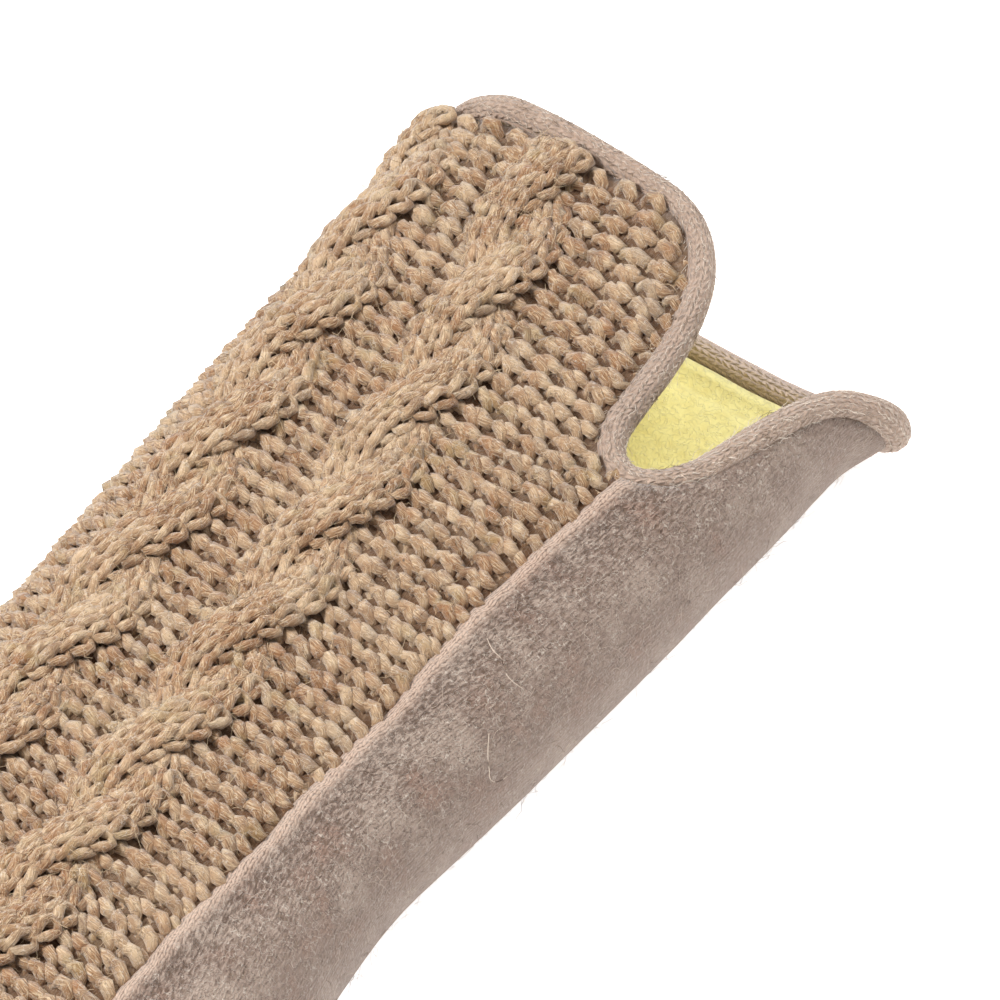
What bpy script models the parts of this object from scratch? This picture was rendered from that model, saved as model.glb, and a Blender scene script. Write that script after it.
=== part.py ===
"""A pair of cable-knit gloves with jersey palms, bound side vents and a fleece lining.

Both gloves lie palm down with their fingers toward -Y and their cuffs toward +Y. The left glove
is at +X, and the right glove is its mirror image at -X. Sizes are in millimetres up to the point
where a mesh is made.
"""
import math

import bmesh
import bpy
import numpy as np
from mathutils import Vector
from mathutils.geometry import delaunay_2d_cdt

MM = 0.001

# The pair on its surface.
GLOVE_CENTRE_X = 100.0
CUFF_END_Y = 134.4

# Cloth thicknesses and the gap that every seam keeps.
SEAM_GAP = 0.3
BACK_WALL = 2.2
JERSEY_WALL = 1.6
LINING_WALL = 1.6
LINING_GAP = 0.9
BINDING_WIDTH = 3.9
BINDING_RISE = 0.5
BINDING_DEPTH = 4.7
BINDING_SIDES = 8
BINDING_STEPS = (9.0, 2.9)
CUFF_INSET = 0.5 * BINDING_WIDTH + SEAM_GAP
LINING_LENGTH = 62.0

# Sections of the hand tube. Each is a flat stadium with a crown on its top:
# distance from the cuff end, half width, height, rise of the crown.
SECTIONS = (
    (0.0, 38.5, 25.0, 2.5),
    (45.0, 38.2, 25.0, 2.5),
    (80.0, 36.8, 24.0, 2.2),
    (112.0, 35.5, 23.0, 2.0),
    (140.0, 38.5, 23.5, 1.5),
    (170.0, 41.5, 23.0, 0.7),
    (196.0, 42.0, 22.0, 0.0),
)

# The two side seams, measured round the tube from its top centre line:
# distance from the cuff end, little-finger seam, thumb seam.
SEAMS = (
    (0.0, 23.3, -56.0),
    (45.0, 23.3, -56.0),
    (62.0, 21.4, -56.0),
    (100.0, 20.8, -55.0),
    (130.0, 20.5, -50.5),
    (160.0, 20.8, -49.0),
    (196.0, 31.0, -46.0),
)

# How far the knit's wales have leaned to the little-finger side: distance from the cuff end, lean.
GRAIN = (
    (0.0, -13.5),
    (20.0, -7.5),
    (40.0, -2.8),
    (60.0, 0.0),
    (84.0, 2.6),
    (110.0, 4.6),
    (143.0, 6.8),
    (196.0, 7.5),
)

# Centre line of the binding round the side vent, from the back's corner to the palm's corner:
# place round the tube, distance from the cuff end.
VENT_EDGE = (
    (-6.0, 0.0),
    (0.0, 0.8),
    (4.4, 2.6),
    (8.4, 5.6),
    (11.6, 9.8),
    (14.4, 17.3),
    (15.9, 24.9),
    (16.6, 32.2),
    (17.6, 38.2),
    (19.8, 41.8),
    (23.4, 43.3),
    (27.0, 41.6),
    (30.4, 36.5),
    (32.6, 28.8),
    (34.4, 21.7),
    (36.2, 16.2),
    (39.0, 11.2),
    (43.4, 7.2),
    (51.0, 3.6),
    (60.0, 1.2),
    (70.0, 0.0),
)

# The back's corner lifts and the palm's corner curls outward.
BACK_CORNER = {"u": 9.0, "spread": 11.0, "reach": 22.0, "lift": 2.0}
PALM_CORNER = {"u": 48.0, "spread": 12.0, "reach": 15.0, "flare": 3.4}

# Rope cables on the back: centre line on the grain, half width, rise, where one strand crosses.
CABLE_PITCH = 21.4
CABLE_FADE = 4.0
CABLE_SKIRT = 0.7
CABLE_CLEAR = 1.2
STRAND_SWING = 0.47
STRAND_HALF_WIDTH = 0.54
STRAND_DIP = 0.28
CABLES = (
    {"centre": -4.9, "half_width": 7.0, "rise": 2.1, "first": 61.8},
    {"centre": -25.3, "half_width": 6.8, "rise": 2.1, "first": 57.6},
)

# The knuckle line, where the fingers are set on.
KNUCKLE_ALONG = 194.0
KNUCKLE_SAG = 6.0
KNUCKLE_SLANT = 2.5
KNUCKLE_HALF_WIDTH = 42.0

# Finger stalls, from the thumb side to the little-finger side:
# name, left side and right side on the knuckle line, length, splay per millimetre,
# width and height near the tip.
FINGERS = (
    ("index", -42.0, -20.4, 69.0, -0.075, 18.6, 17.0),
    ("middle", -20.4, 1.2, 76.0, -0.012, 18.8, 17.2),
    ("ring", 1.2, 22.2, 71.0, 0.045, 18.2, 16.8),
    ("little", 22.2, 42.0, 57.0, 0.115, 16.8, 15.6),
)
STALL_WALL = 1.6
STALL_CORNER = 3.0
STALL_BLEND = 26.0
STALL_STATIONS = (0.0, 7.0, 16.0, 31.0)
TIP_ROUNDING = 9.5
TIP_ANGLES = (0.0, 34.0, 62.0, 80.0)
CORNER_POINTS = 4
CORNER_LEAST = 0.5
CORNER_CLEAR = 0.01

# The thumb is set into the side seam.
THUMB_ALONG = 147.0
THUMB_HOLE_HALF_LENGTH = 19.0
THUMB_HOLE_HALF_HEIGHT = 12.5
THUMB_HOLE_GAP = 0.9
THUMB_ROOT_DEPTH = 1.2
THUMB_ROOT_RISE = 0.9
THUMB_STRAIGHT = 8.0
THUMB_BLEND = 26.0
THUMB_ANGLE = math.radians(34.0)
THUMB_LENGTH = 66.0
THUMB_WIDTH = 21.0
THUMB_HEIGHT = 18.5

# Grid spacings of the panels' points.
EDGE_STEP = 4.6
CUFF_EDGE_STEP = 2.5
THUMB_SEAM_STEP = 2.9
CABLE_STEP = (2.55, 3.5)
GROUND_STEP = (6.5, 8.5)
PALM_STEP = (8.0, 13.0)
INNER_CUFF_STEP = (5.4, 12.5)
INNER_HAND_STEP = (9.0, 18.0)
EDGE_MARGIN = 0.32

# How finely curves are sampled before they are resampled, and how seams find the knuckle line.
CURVE_SAMPLES = 240
CUFF_SAMPLES = 60
END_SAMPLES = 160
SEAM_SAMPLES = 600
MEETING_ROUNDS = 12
NORMAL_STEP = 0.05
SHARP_ANGLE = math.radians(50.0)

COLOURS = {
    "cable_knit": (0.479, 0.319, 0.188),
    "jersey": (0.434, 0.352, 0.296),
    "fleece": (0.847, 0.752, 0.262),
}


def smooth_table(rows, at, column):
    """Value of a table's column at some distances, by a cubic through its rows."""
    knots = np.array([row[0] for row in rows])
    values = np.array([row[column] for row in rows])
    slopes = np.gradient(values, knots)
    at = np.clip(np.asarray(at, dtype=float), knots[0], knots[-1])
    span = np.clip(np.searchsorted(knots, at, side="right") - 1, 0, len(knots) - 2)
    width = knots[span + 1] - knots[span]
    s = (at - knots[span]) / width
    rest = 1.0 - s
    return (
        values[span] * rest * rest * (1.0 + 2.0 * s)
        + slopes[span] * width * s * rest * rest
        + values[span + 1] * s * s * (3.0 - 2.0 * s)
        - slopes[span + 1] * width * s * s * rest
    )


def smooth_step(value):
    value = np.clip(value, 0.0, 1.0)
    return value * value * (3.0 - 2.0 * value)


def bell(distance):
    return np.exp(-distance * distance)


def half_round(t):
    """Distance round the tube from its top centre line to its bottom centre line."""
    half_width = smooth_table(SECTIONS, t, 1)
    radius = 0.5 * smooth_table(SECTIONS, t, 2)
    return 2.0 * (half_width - radius) + math.pi * radius


def tube_surface(u, t):
    """Points of the outer cloth surface, u round the tube from the top and t from the cuff end."""
    u = np.asarray(u, dtype=float)
    t = np.asarray(t, dtype=float)
    half_width = smooth_table(SECTIONS, t, 1)
    height = smooth_table(SECTIONS, t, 2)
    crown = smooth_table(SECTIONS, t, 3)
    radius = 0.5 * height
    flat = half_width - radius
    turn = half_round(t)
    u = (u + turn) % (2.0 * turn) - turn
    side = np.where(u < 0.0, -1.0, 1.0)
    away = np.abs(u)
    angle = np.clip((away - flat) / radius, 0.0, math.pi)
    past = np.maximum(away - flat - math.pi * radius, 0.0)
    x = side * (np.minimum(away, flat) + radius * np.sin(angle) - past)
    upper = np.maximum(np.cos(angle), 0.0)
    z = radius + radius * np.cos(angle) + crown * (1.0 - (x / half_width) ** 2) * upper

    back = BACK_CORNER
    lift = back["lift"] * bell((u - back["u"]) / back["spread"]) * smooth_step(1.0 - t / back["reach"])
    palm = PALM_CORNER
    flare = palm["flare"] * bell((u - palm["u"]) / palm["spread"]) * smooth_step(1.0 - t / palm["reach"])
    return np.stack((x + flare, -t, z + lift), axis=-1)


def tube_normal(u, t):
    u = np.asarray(u, dtype=float)
    t = np.asarray(t, dtype=float)
    round_way = tube_surface(u + NORMAL_STEP, t) - tube_surface(u - NORMAL_STEP, t)
    along = tube_surface(u, t + NORMAL_STEP) - tube_surface(u, t - NORMAL_STEP)
    normal = np.cross(along, round_way)
    return normal / np.linalg.norm(normal, axis=-1, keepdims=True)


def on_tube(u, t, rise):
    """Points on the tube's surface, moved out by rise, and never below the resting surface."""
    u = np.asarray(u, dtype=float)
    rise = np.broadcast_to(np.asarray(rise, dtype=float), u.shape)
    points = tube_surface(u, t) + tube_normal(u, t) * rise[..., None]
    points[..., 2] = np.maximum(points[..., 2], 0.0)
    return points


def cable_rise(u, t):
    """Height of the two-strand ropes above the purl ground."""
    rise = np.zeros(np.shape(u))
    for cable in CABLES:
        across = (u - smooth_table(GRAIN, t, 1) - cable["centre"]) / cable["half_width"]
        for strand in (0, 1):
            phase = math.pi * ((cable["first"] - t) / CABLE_PITCH + strand)
            away = (across + STRAND_SWING * np.cos(phase)) / STRAND_HALF_WIDTH
            profile = np.sqrt(np.maximum(1.0 - away * away, 0.0))
            crossing = 1.0 - STRAND_DIP + STRAND_DIP * np.sin(phase)
            rise = np.maximum(rise, cable["rise"] * profile * crossing)
    from_cuff = smooth_step((t - CUFF_INSET) / CABLE_FADE)
    from_knuckles = smooth_step((KNUCKLE_ALONG - t - CABLE_FADE) / CABLE_FADE)
    return rise * from_cuff * from_knuckles


def knuckle_line(x):
    across = x / KNUCKLE_HALF_WIDTH
    return KNUCKLE_ALONG - KNUCKLE_SAG * across * across - KNUCKLE_SLANT * across


def resample(points, step):
    """The same line with even steps, its ends kept."""
    points = np.asarray(points, dtype=float)
    length = np.concatenate(([0.0], np.cumsum(np.linalg.norm(np.diff(points, axis=0), axis=1))))
    count = max(2, int(round(length[-1] / step)) + 1)
    at = np.linspace(0.0, length[-1], count)
    return np.stack([np.interp(at, length, points[:, k]) for k in range(points.shape[1])], axis=1)


def vent_curve():
    """The binding's centre line at the vent, as a smooth curve through its table."""
    rows = np.array(VENT_EDGE)
    steps = np.linalg.norm(np.diff(rows, axis=0), axis=1)
    along = np.concatenate(([0.0], np.cumsum(steps)))
    at = np.linspace(0.0, along[-1], CURVE_SAMPLES)
    table = np.column_stack((along, rows))
    return np.column_stack((smooth_table(table, at, 1), smooth_table(table, at, 2)))


def straight_edge(u_start, u_end):
    u = np.linspace(u_start, u_end, CUFF_SAMPLES)
    return np.column_stack((u, np.zeros(CUFF_SAMPLES)))


def binding_path(straight_step, vent_step):
    """The binding's centre line, round the whole cuff from bottom centre to bottom centre."""
    turn = float(half_round(0.0))
    vent = vent_curve()
    before = resample(straight_edge(-turn, vent[0, 0]), straight_step)
    after = resample(straight_edge(vent[-1, 0], turn), straight_step)
    return np.concatenate((before[:-1], resample(vent, vent_step), after[1:]))


def panel_edge():
    """Where the panels' cloth ends, just inside the binding."""
    path = binding_path(1.0, 0.5)
    way = np.gradient(path, axis=0)
    way /= np.linalg.norm(way, axis=1, keepdims=True)
    inward = np.column_stack((-way[:, 1], way[:, 0]))
    return path + inward * CUFF_INSET


def far_seam(t, way):
    """The thumb-side seam, drawn back by half of the thumb's hole on the panel at one side."""
    across = np.clip(1.0 - ((t - THUMB_ALONG) / THUMB_HOLE_HALF_LENGTH) ** 2, 0.0, None)
    back_by = 0.5 * SEAM_GAP + THUMB_HOLE_HALF_HEIGHT * np.sqrt(across)
    return smooth_table(SEAMS, t, 2) + way * back_by


def back_near_seam(t):
    return smooth_table(SEAMS, t, 1) - 0.5 * SEAM_GAP


def back_far_seam(t):
    return far_seam(t, 1.0)


def palm_near_seam(t):
    return smooth_table(SEAMS, t, 1) + 0.5 * SEAM_GAP - half_round(t)


def palm_far_seam(t):
    return far_seam(t, -1.0) + half_round(t)


def end_line(first, last, end, to_tube):
    """A panel's inner end from seam to seam, straight across or along the knuckle line."""
    if end is not None:
        u = np.linspace(first(end), last(end), END_SAMPLES)
        return np.column_stack((u, np.full(END_SAMPLES, end)))
    corners = []
    for seam in (first, last):
        t = KNUCKLE_ALONG
        for _ in range(MEETING_ROUNDS):
            t = float(knuckle_line(tube_surface(to_tube(seam(t), t), t)[0]))
        corners.append(float(seam(t)))
    u = np.linspace(corners[0], corners[1], END_SAMPLES)
    t = np.full(END_SAMPLES, KNUCKLE_ALONG)
    for _ in range(MEETING_ROUNDS):
        t = knuckle_line(tube_surface(to_tube(u, t), t)[:, 0])
    return np.column_stack((u, t))


def back_place(u, t):
    return u


def palm_place(v, t):
    """Place round the tube of a point measured from the bottom centre line."""
    return v + half_round(t)


def panel_outline(side, end=None):
    """A panel's four edges in the flat, in order: cuff, one seam, inner end, other seam."""
    edge = panel_edge()
    gap = 0.5 * SEAM_GAP
    if side == "back":
        to_tube = back_place
        keep = (edge[:, 0] > SEAMS[0][2] + gap) & (edge[:, 0] < SEAMS[0][1] - gap)
        cuff = edge[keep]
        first, last = back_near_seam, back_far_seam
    else:
        to_tube = palm_place
        near = edge[edge[:, 0] > SEAMS[0][1] + gap]
        far = edge[edge[:, 0] < SEAMS[0][2] - gap][1:]
        near = np.column_stack((near[:, 0] - half_round(near[:, 1]), near[:, 1]))
        far = np.column_stack((far[:, 0] + half_round(far[:, 1]), far[:, 1]))
        cuff = np.concatenate((near, far))
        first, last = palm_far_seam, palm_near_seam
    far_end = end_line(first, last, end, to_tube)
    rising = np.linspace(cuff[-1, 1], far_end[0, 1], SEAM_SAMPLES)
    falling = np.linspace(far_end[-1, 1], cuff[0, 1], SEAM_SAMPLES)
    sides = (
        cuff,
        np.column_stack((first(rising), rising)),
        far_end,
        np.column_stack((last(falling), falling)),
    )
    thumb_seam = 3 if side == "back" else 1
    steps = [CUFF_EDGE_STEP, EDGE_STEP, EDGE_STEP, EDGE_STEP]
    steps[thumb_seam] = THUMB_SEAM_STEP
    return np.concatenate([resample(*row)[:-1] for row in zip(sides, steps)]), to_tube


def inside(outline, points, margin):
    """Which points lie inside an outline and at least margin from it."""
    start = outline[None, :, :]
    stop = np.roll(outline, -1, axis=0)[None, :, :]
    here = points[:, None, :]
    above = (start[..., 1] > here[..., 1]) != (stop[..., 1] > here[..., 1])
    rise = stop[..., 1] - start[..., 1]
    rise = np.where(np.abs(rise) < 1e-9, 1e-9, rise)
    crossing = start[..., 0] + (here[..., 1] - start[..., 1]) * (stop[..., 0] - start[..., 0]) / rise
    within = (np.sum(above & (here[..., 0] < crossing), axis=1) % 2) == 1
    edge = stop - start
    share = np.sum((here - start) * edge, axis=-1) / np.maximum(np.sum(edge * edge, axis=-1), 1e-9)
    nearest = start + np.clip(share, 0.0, 1.0)[..., None] * edge
    distance = np.min(np.linalg.norm(here - nearest, axis=-1), axis=1)
    return within & (distance > margin)


def grid(u_range, t_range, step):
    """Rows of points, every other one moved half a step."""
    columns = np.arange(u_range[0], u_range[1] + 1e-6, step[0])
    rows = np.arange(t_range[0], t_range[1] + 1e-6, step[1])
    u, t = np.meshgrid(columns, rows)
    u = u + np.where(np.arange(len(rows)) % 2 == 1, 0.5 * step[0], 0.0)[:, None]
    return np.column_stack((u.ravel(), t.ravel()))


def ground_points(outline, step):
    low = outline.min(axis=0)
    high = outline.max(axis=0)
    points = grid((low[0], high[0]), (low[1], high[1]), step)
    return points[inside(outline, points, EDGE_MARGIN * min(step))]


def inner_points(outline):
    """Close rows where the lining lies inside the cloth, and wide ones further in."""
    cuff = ground_points(outline, INNER_CUFF_STEP)
    hand = ground_points(outline, INNER_HAND_STEP)
    border = LINING_LENGTH + EDGE_STEP
    return np.concatenate((cuff[cuff[:, 1] < border], hand[hand[:, 1] > border + EDGE_STEP]))


def cable_points(outline):
    """The ground's points, with close rows on the cables."""
    ground = ground_points(outline, GROUND_STEP)
    parts = []
    for cable in CABLES:
        reach = cable["half_width"] + CABLE_SKIRT
        on_grain = ground[:, 0] - smooth_table(GRAIN, ground[:, 1], 1) - cable["centre"]
        ground = ground[np.abs(on_grain) > reach + CABLE_CLEAR]
        points = grid((-reach, reach), (outline[:, 1].min(), outline[:, 1].max()), CABLE_STEP)
        points[:, 0] += cable["centre"] + smooth_table(GRAIN, points[:, 1], 1)
        parts.append(points[inside(outline, points, CABLE_CLEAR)])
    return np.concatenate((ground, *parts))


def triangles(outline, points):
    """Triangles inside an outline, on its own points and those given."""
    flat = [Vector(row) for row in np.concatenate((outline, points))]
    loop = list(range(len(outline)))
    found = delaunay_2d_cdt(flat, [], [loop], 1, 1e-7)
    origin = [names[0] for names in found[3]]
    return [[origin[index] for index in face] for face in found[2]]


def cloth_panel(outline, to_tube, outer, inner, rise, top, wall):
    """A closed wall over an outline, with its outer points raised and a plain inside."""
    outer_flat = np.concatenate((outline, outer))
    inner_flat = np.concatenate((outline, inner))
    height = rise(outer_flat[:, 0], outer_flat[:, 1])
    height[: len(outline)] = 0.0
    outer_u = to_tube(outer_flat[:, 0], outer_flat[:, 1])
    inner_u = to_tube(inner_flat[:, 0], inner_flat[:, 1])
    outside = on_tube(outer_u, outer_flat[:, 1], height + top)
    within = on_tube(inner_u, inner_flat[:, 1], top - wall)
    shift = len(outside)
    faces = [face[::-1] for face in triangles(outline, outer)]
    faces += [[index + shift for index in face] for face in triangles(outline, inner)]
    count = len(outline)
    for index in range(count):
        after = (index + 1) % count
        faces.append([index, after, after + shift])
        faces.append([index, after + shift, index + shift])
    return np.concatenate((outside, within)), faces


def no_rise(u, t):
    return np.zeros(np.shape(u))


def back_panel():
    outline, to_tube = panel_outline("back")
    inner = inner_points(outline)
    return cloth_panel(outline, to_tube, cable_points(outline), inner, cable_rise, 0.0, BACK_WALL)


def palm_panel():
    outline, to_tube = panel_outline("palm")
    outer = ground_points(outline, PALM_STEP)
    inner = inner_points(outline)
    return cloth_panel(outline, to_tube, outer, inner, no_rise, 0.0, JERSEY_WALL)


def lining_panel(side, shell):
    outline, to_tube = panel_outline(side, LINING_LENGTH)
    points = inner_points(outline)
    return cloth_panel(outline, to_tube, points, points, no_rise, -shell - LINING_GAP, LINING_WALL)


def loft(rings, closed_way=False):
    """Faces between rings of equal length, and the list of all their points."""
    count = len(rings[0])
    faces = []
    last = len(rings) if closed_way else len(rings) - 1
    for row in range(last):
        below = row * count
        above = ((row + 1) % len(rings)) * count
        for k in range(count):
            after = (k + 1) % count
            faces.append([below + k, below + after, above + after, above + k])
    return np.concatenate(rings), faces


def binding():
    """One roll of jersey round the whole cuff edge and the vent."""
    path = binding_path(BINDING_STEPS[0], BINDING_STEPS[1])[:-1]
    normal = tube_normal(path[:, 0], path[:, 1])
    line = tube_surface(path[:, 0], path[:, 1])
    way = np.roll(line, -1, axis=0) - np.roll(line, 1, axis=0)
    way /= np.linalg.norm(way, axis=1, keepdims=True)
    across = np.cross(normal, way)
    across /= np.linalg.norm(across, axis=1, keepdims=True)
    centre = line + normal * (BINDING_RISE - 0.5 * BINDING_DEPTH)
    rings = []
    for k in range(len(path)):
        ring = []
        for corner in range(BINDING_SIDES):
            angle = 2.0 * math.pi * (corner + 0.5) / BINDING_SIDES
            wide = 0.5 * BINDING_WIDTH * math.cos(angle)
            deep = 0.5 * BINDING_DEPTH * math.sin(angle)
            ring.append(centre[k] + across[k] * wide + normal[k] * deep)
        rings.append(np.array(ring))
    points, faces = loft(rings, closed_way=True)
    points[:, 2] = np.maximum(points[:, 2], 0.0)
    return points, faces


def rounded_section(left, right, low, high, left_radius, right_radius):
    """A box with round corners, its points counted round from the lower right."""
    half = 0.5 * (high - low)
    limit = 0.5 * (right - left)
    corners = (
        (right, low, right_radius, -90.0),
        (right, high, right_radius, 0.0),
        (left, high, left_radius, 90.0),
        (left, low, left_radius, 180.0),
    )
    points = []
    for x, z, radius, start in corners:
        radius = max(CORNER_LEAST, min(radius, half - CORNER_CLEAR, limit - CORNER_CLEAR))
        x_centre = x - radius if x == right else x + radius
        z_centre = z - radius if z == high else z + radius
        for k in range(CORNER_POINTS):
            angle = math.radians(start + 90.0 * k / (CORNER_POINTS - 1))
            points.append((x_centre + radius * math.cos(angle), z_centre + radius * math.sin(angle)))
    return np.array(points)


def tube_stations(length, inset):
    """Distances along a stall and how much its section has closed there."""
    tip = length - inset
    round_length = TIP_ROUNDING - inset
    rows = [(distance, 1.0) for distance in STALL_STATIONS]
    for angle in TIP_ANGLES:
        turn = math.radians(angle)
        rows.append((tip - round_length + round_length * math.sin(turn), math.cos(turn)))
    return rows, tip


def closed_tube(outer_rings, inner_rings, outer_tip, inner_tip):
    """A tube with a wall, open at its first rings and closed at its tips."""
    outer, faces = loft(outer_rings)
    inner, inner_faces = loft(inner_rings)
    count = len(outer_rings[0])
    shift = len(outer)
    faces += [[index + shift for index in face[::-1]] for face in inner_faces]
    points = np.concatenate((outer, inner, [outer_tip], [inner_tip]))
    tips = len(points) - 2
    last_outer = shift - count
    last_inner = tips - count
    for k in range(count):
        after = (k + 1) % count
        faces.append([after, k, k + shift, after + shift])
        faces.append([last_outer + k, last_outer + after, tips])
        faces.append([last_inner + after, last_inner + k, tips + 1])
    return points, faces


def finger(name, left, right, length, splay, tip_width, tip_height):
    """One finger stall, whose base fits its share of the knuckle line."""
    base_height = SECTIONS[-1][2]
    middle = 0.5 * (left + right)
    left_base_radius = 0.5 * base_height if name == "index" else STALL_CORNER
    right_base_radius = 0.5 * base_height if name == "little" else STALL_CORNER
    all_rings = []
    tips = []
    for inset in (0.0, STALL_WALL):
        stations, tip = tube_stations(length, inset)
        rings = []
        for distance, scale in stations:
            blend = float(smooth_step(distance / STALL_BLEND))
            narrow = float(smooth_step(distance / length))
            half_width = (1.0 - narrow) * 0.5 * (right - left - SEAM_GAP) + narrow * 0.5 * tip_width
            height = (1.0 - narrow) * base_height + narrow * tip_height
            full = 0.5 * height
            section = rounded_section(
                -half_width + inset,
                half_width - inset,
                inset,
                height - inset,
                (1.0 - blend) * left_base_radius + blend * full - inset,
                (1.0 - blend) * right_base_radius + blend * full - inset,
            )
            section[:, 0] *= scale
            section[:, 1] = full + (section[:, 1] - full) * scale
            x = middle + splay * distance + section[:, 0]
            start = (1.0 - blend) * knuckle_line(x) + blend * knuckle_line(middle) + SEAM_GAP
            rings.append(np.column_stack((x, -start - distance, section[:, 1])))
        all_rings.append(rings)
        end = -float(knuckle_line(middle)) - SEAM_GAP - tip
        tips.append((middle + splay * tip, end, rings[-1][:, 2].mean()))
    return closed_tube(all_rings[0], all_rings[1], tips[0], tips[1])


def thumb():
    """The thumb stall, set into the hole in the thumb-side seam."""
    forward = np.array((-math.sin(THUMB_ANGLE), -math.cos(THUMB_ANGLE), 0.0))
    sideways = np.array((math.cos(THUMB_ANGLE), -math.sin(THUMB_ANGLE), 0.0))
    seam = float(smooth_table(SEAMS, THUMB_ALONG, 2))
    root = tube_surface(seam, THUMB_ALONG)
    root[2] = 0.0
    corner = rounded_section(-1.0, 1.0, -1.0, 1.0, 1.0, 1.0)
    turn = np.arctan2(corner[:, 1], corner[:, 0])
    all_rings = []
    tips = []
    for inset in (0.0, STALL_WALL):
        half_round_way = THUMB_HOLE_HALF_HEIGHT - THUMB_HOLE_GAP - inset
        half_along = THUMB_HOLE_HALF_LENGTH - THUMB_HOLE_GAP - inset / math.sin(THUMB_ANGLE)
        u = seam + half_round_way * np.sin(turn)
        t = THUMB_ALONG + half_along * np.cos(turn)
        rings = [on_tube(u, t, -THUMB_ROOT_DEPTH)]
        rim = on_tube(u, t, THUMB_ROOT_RISE)
        stations, tip = tube_stations(THUMB_LENGTH, inset)
        for distance, scale in stations:
            blend = float(smooth_step((distance - THUMB_STRAIGHT) / THUMB_BLEND))
            full = 0.5 * THUMB_HEIGHT
            section = rounded_section(
                -0.5 * THUMB_WIDTH + inset,
                0.5 * THUMB_WIDTH - inset,
                inset,
                THUMB_HEIGHT - inset,
                full - inset,
                full - inset,
            )
            wide = section[:, 0] * scale
            high = full + (section[:, 1] - full) * scale
            target = root + forward * distance + sideways * wide[:, None]
            target[:, 2] = high
            rings.append((1.0 - blend) * (rim + forward * distance) + blend * target)
        all_rings.append(rings)
        tips.append(root + forward * tip + np.array((0.0, 0.0, rings[-1][:, 2].mean())))
    return closed_tube(all_rings[0], all_rings[1], tips[0], tips[1])


def make_material(name):
    material = bpy.data.materials.new(name)
    material.use_nodes = True
    shader = material.node_tree.nodes["Principled BSDF"]
    shader.inputs["Base Color"].default_value = (*COLOURS[name], 1.0)
    shader.inputs["Roughness"].default_value = 0.95
    shader.inputs["Metallic"].default_value = 0.0
    return material


def add_node(name, shape, material, mirrored):
    """Add a piece of the left glove, or of the right one as its mirror image."""
    points, faces = shape
    points = np.array(points) + np.array((GLOVE_CENTRE_X, CUFF_END_Y, 0.0))
    if mirrored:
        points[:, 0] *= -1.0
    mesh = bpy.data.meshes.new(name)
    mesh.from_pydata([tuple(row) for row in points * MM], [], faces)
    form = bmesh.new()
    form.from_mesh(mesh)
    bmesh.ops.recalc_face_normals(form, faces=form.faces)
    form.to_mesh(mesh)
    form.free()
    mesh.shade_smooth()
    mesh.set_sharp_from_angle(angle=SHARP_ANGLE)
    mesh.materials.append(material)
    node = bpy.data.objects.new(name, mesh)
    bpy.context.scene.collection.objects.link(node)


def build_pair():
    knit = make_material("cable_knit")
    jersey = make_material("jersey")
    fleece = make_material("fleece")
    shapes = {
        "back": (back_panel(), knit),
        "palm": (palm_panel(), jersey),
        "binding": (binding(), jersey),
        "lining_back": (lining_panel("back", BACK_WALL), fleece),
        "lining_palm": (lining_panel("palm", JERSEY_WALL), fleece),
        "thumb": (thumb(), jersey),
    }
    for row in FINGERS:
        shapes[row[0] + "_finger"] = (finger(*row), jersey)
    for side, mirrored in (("left", False), ("right", True)):
        for name, (shape, material) in shapes.items():
            add_node(side + "_" + name, shape, material, mirrored)


for old in list(bpy.data.objects):
    bpy.data.objects.remove(old)
build_pair()
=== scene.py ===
"""Looks of a pair of cable-knit gloves: yarn, brushed jersey, bound edges and a fleece lining.

Places on a glove are given as u, round the hand tube from its top centre line, and t, from the
cuff end toward the fingers, both in millimetres. Meshes are made in metres.
"""
import math

import bpy
import numpy as np
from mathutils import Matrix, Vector
from mathutils.geometry import delaunay_2d_cdt

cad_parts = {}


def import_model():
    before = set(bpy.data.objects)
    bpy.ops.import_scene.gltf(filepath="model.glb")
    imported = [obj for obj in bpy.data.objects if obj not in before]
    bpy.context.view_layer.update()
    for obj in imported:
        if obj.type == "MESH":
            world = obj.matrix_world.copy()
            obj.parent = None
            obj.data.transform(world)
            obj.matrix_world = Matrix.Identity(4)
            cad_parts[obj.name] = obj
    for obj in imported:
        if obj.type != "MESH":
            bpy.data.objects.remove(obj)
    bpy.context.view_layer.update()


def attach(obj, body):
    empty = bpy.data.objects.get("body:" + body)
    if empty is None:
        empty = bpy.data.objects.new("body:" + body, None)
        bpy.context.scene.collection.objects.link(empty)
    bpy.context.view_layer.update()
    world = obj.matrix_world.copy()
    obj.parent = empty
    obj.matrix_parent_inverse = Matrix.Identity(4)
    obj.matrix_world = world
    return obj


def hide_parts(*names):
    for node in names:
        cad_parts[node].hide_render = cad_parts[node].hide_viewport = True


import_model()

MM = 0.001
GLOVE_CENTRE_X = 100.0
CUFF_END_Y = 134.4
SIDES = {"left": 1.0, "right": -1.0}

# Cloth sizes of the solids.
BACK_WALL = 2.2
JERSEY_WALL = 1.6
LINING_WALL = 1.6
LINING_GAP = 0.9
BINDING_WIDTH = 3.9
BINDING_RISE = 0.5
BINDING_DEPTH = 4.7
CUFF_INSET = 0.5 * BINDING_WIDTH - 0.6
LINING_LENGTH = 62.0

# Sections of the hand tube. Each is a flat stadium with a crown on its top:
# distance from the cuff end, half width, height, rise of the crown.
SECTIONS = (
    (0.0, 38.5, 25.0, 2.5),
    (45.0, 38.2, 25.0, 2.5),
    (80.0, 36.8, 24.0, 2.2),
    (112.0, 35.5, 23.0, 2.0),
    (140.0, 38.5, 23.5, 1.5),
    (170.0, 41.5, 23.0, 0.7),
    (196.0, 42.0, 22.0, 0.0),
)

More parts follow.
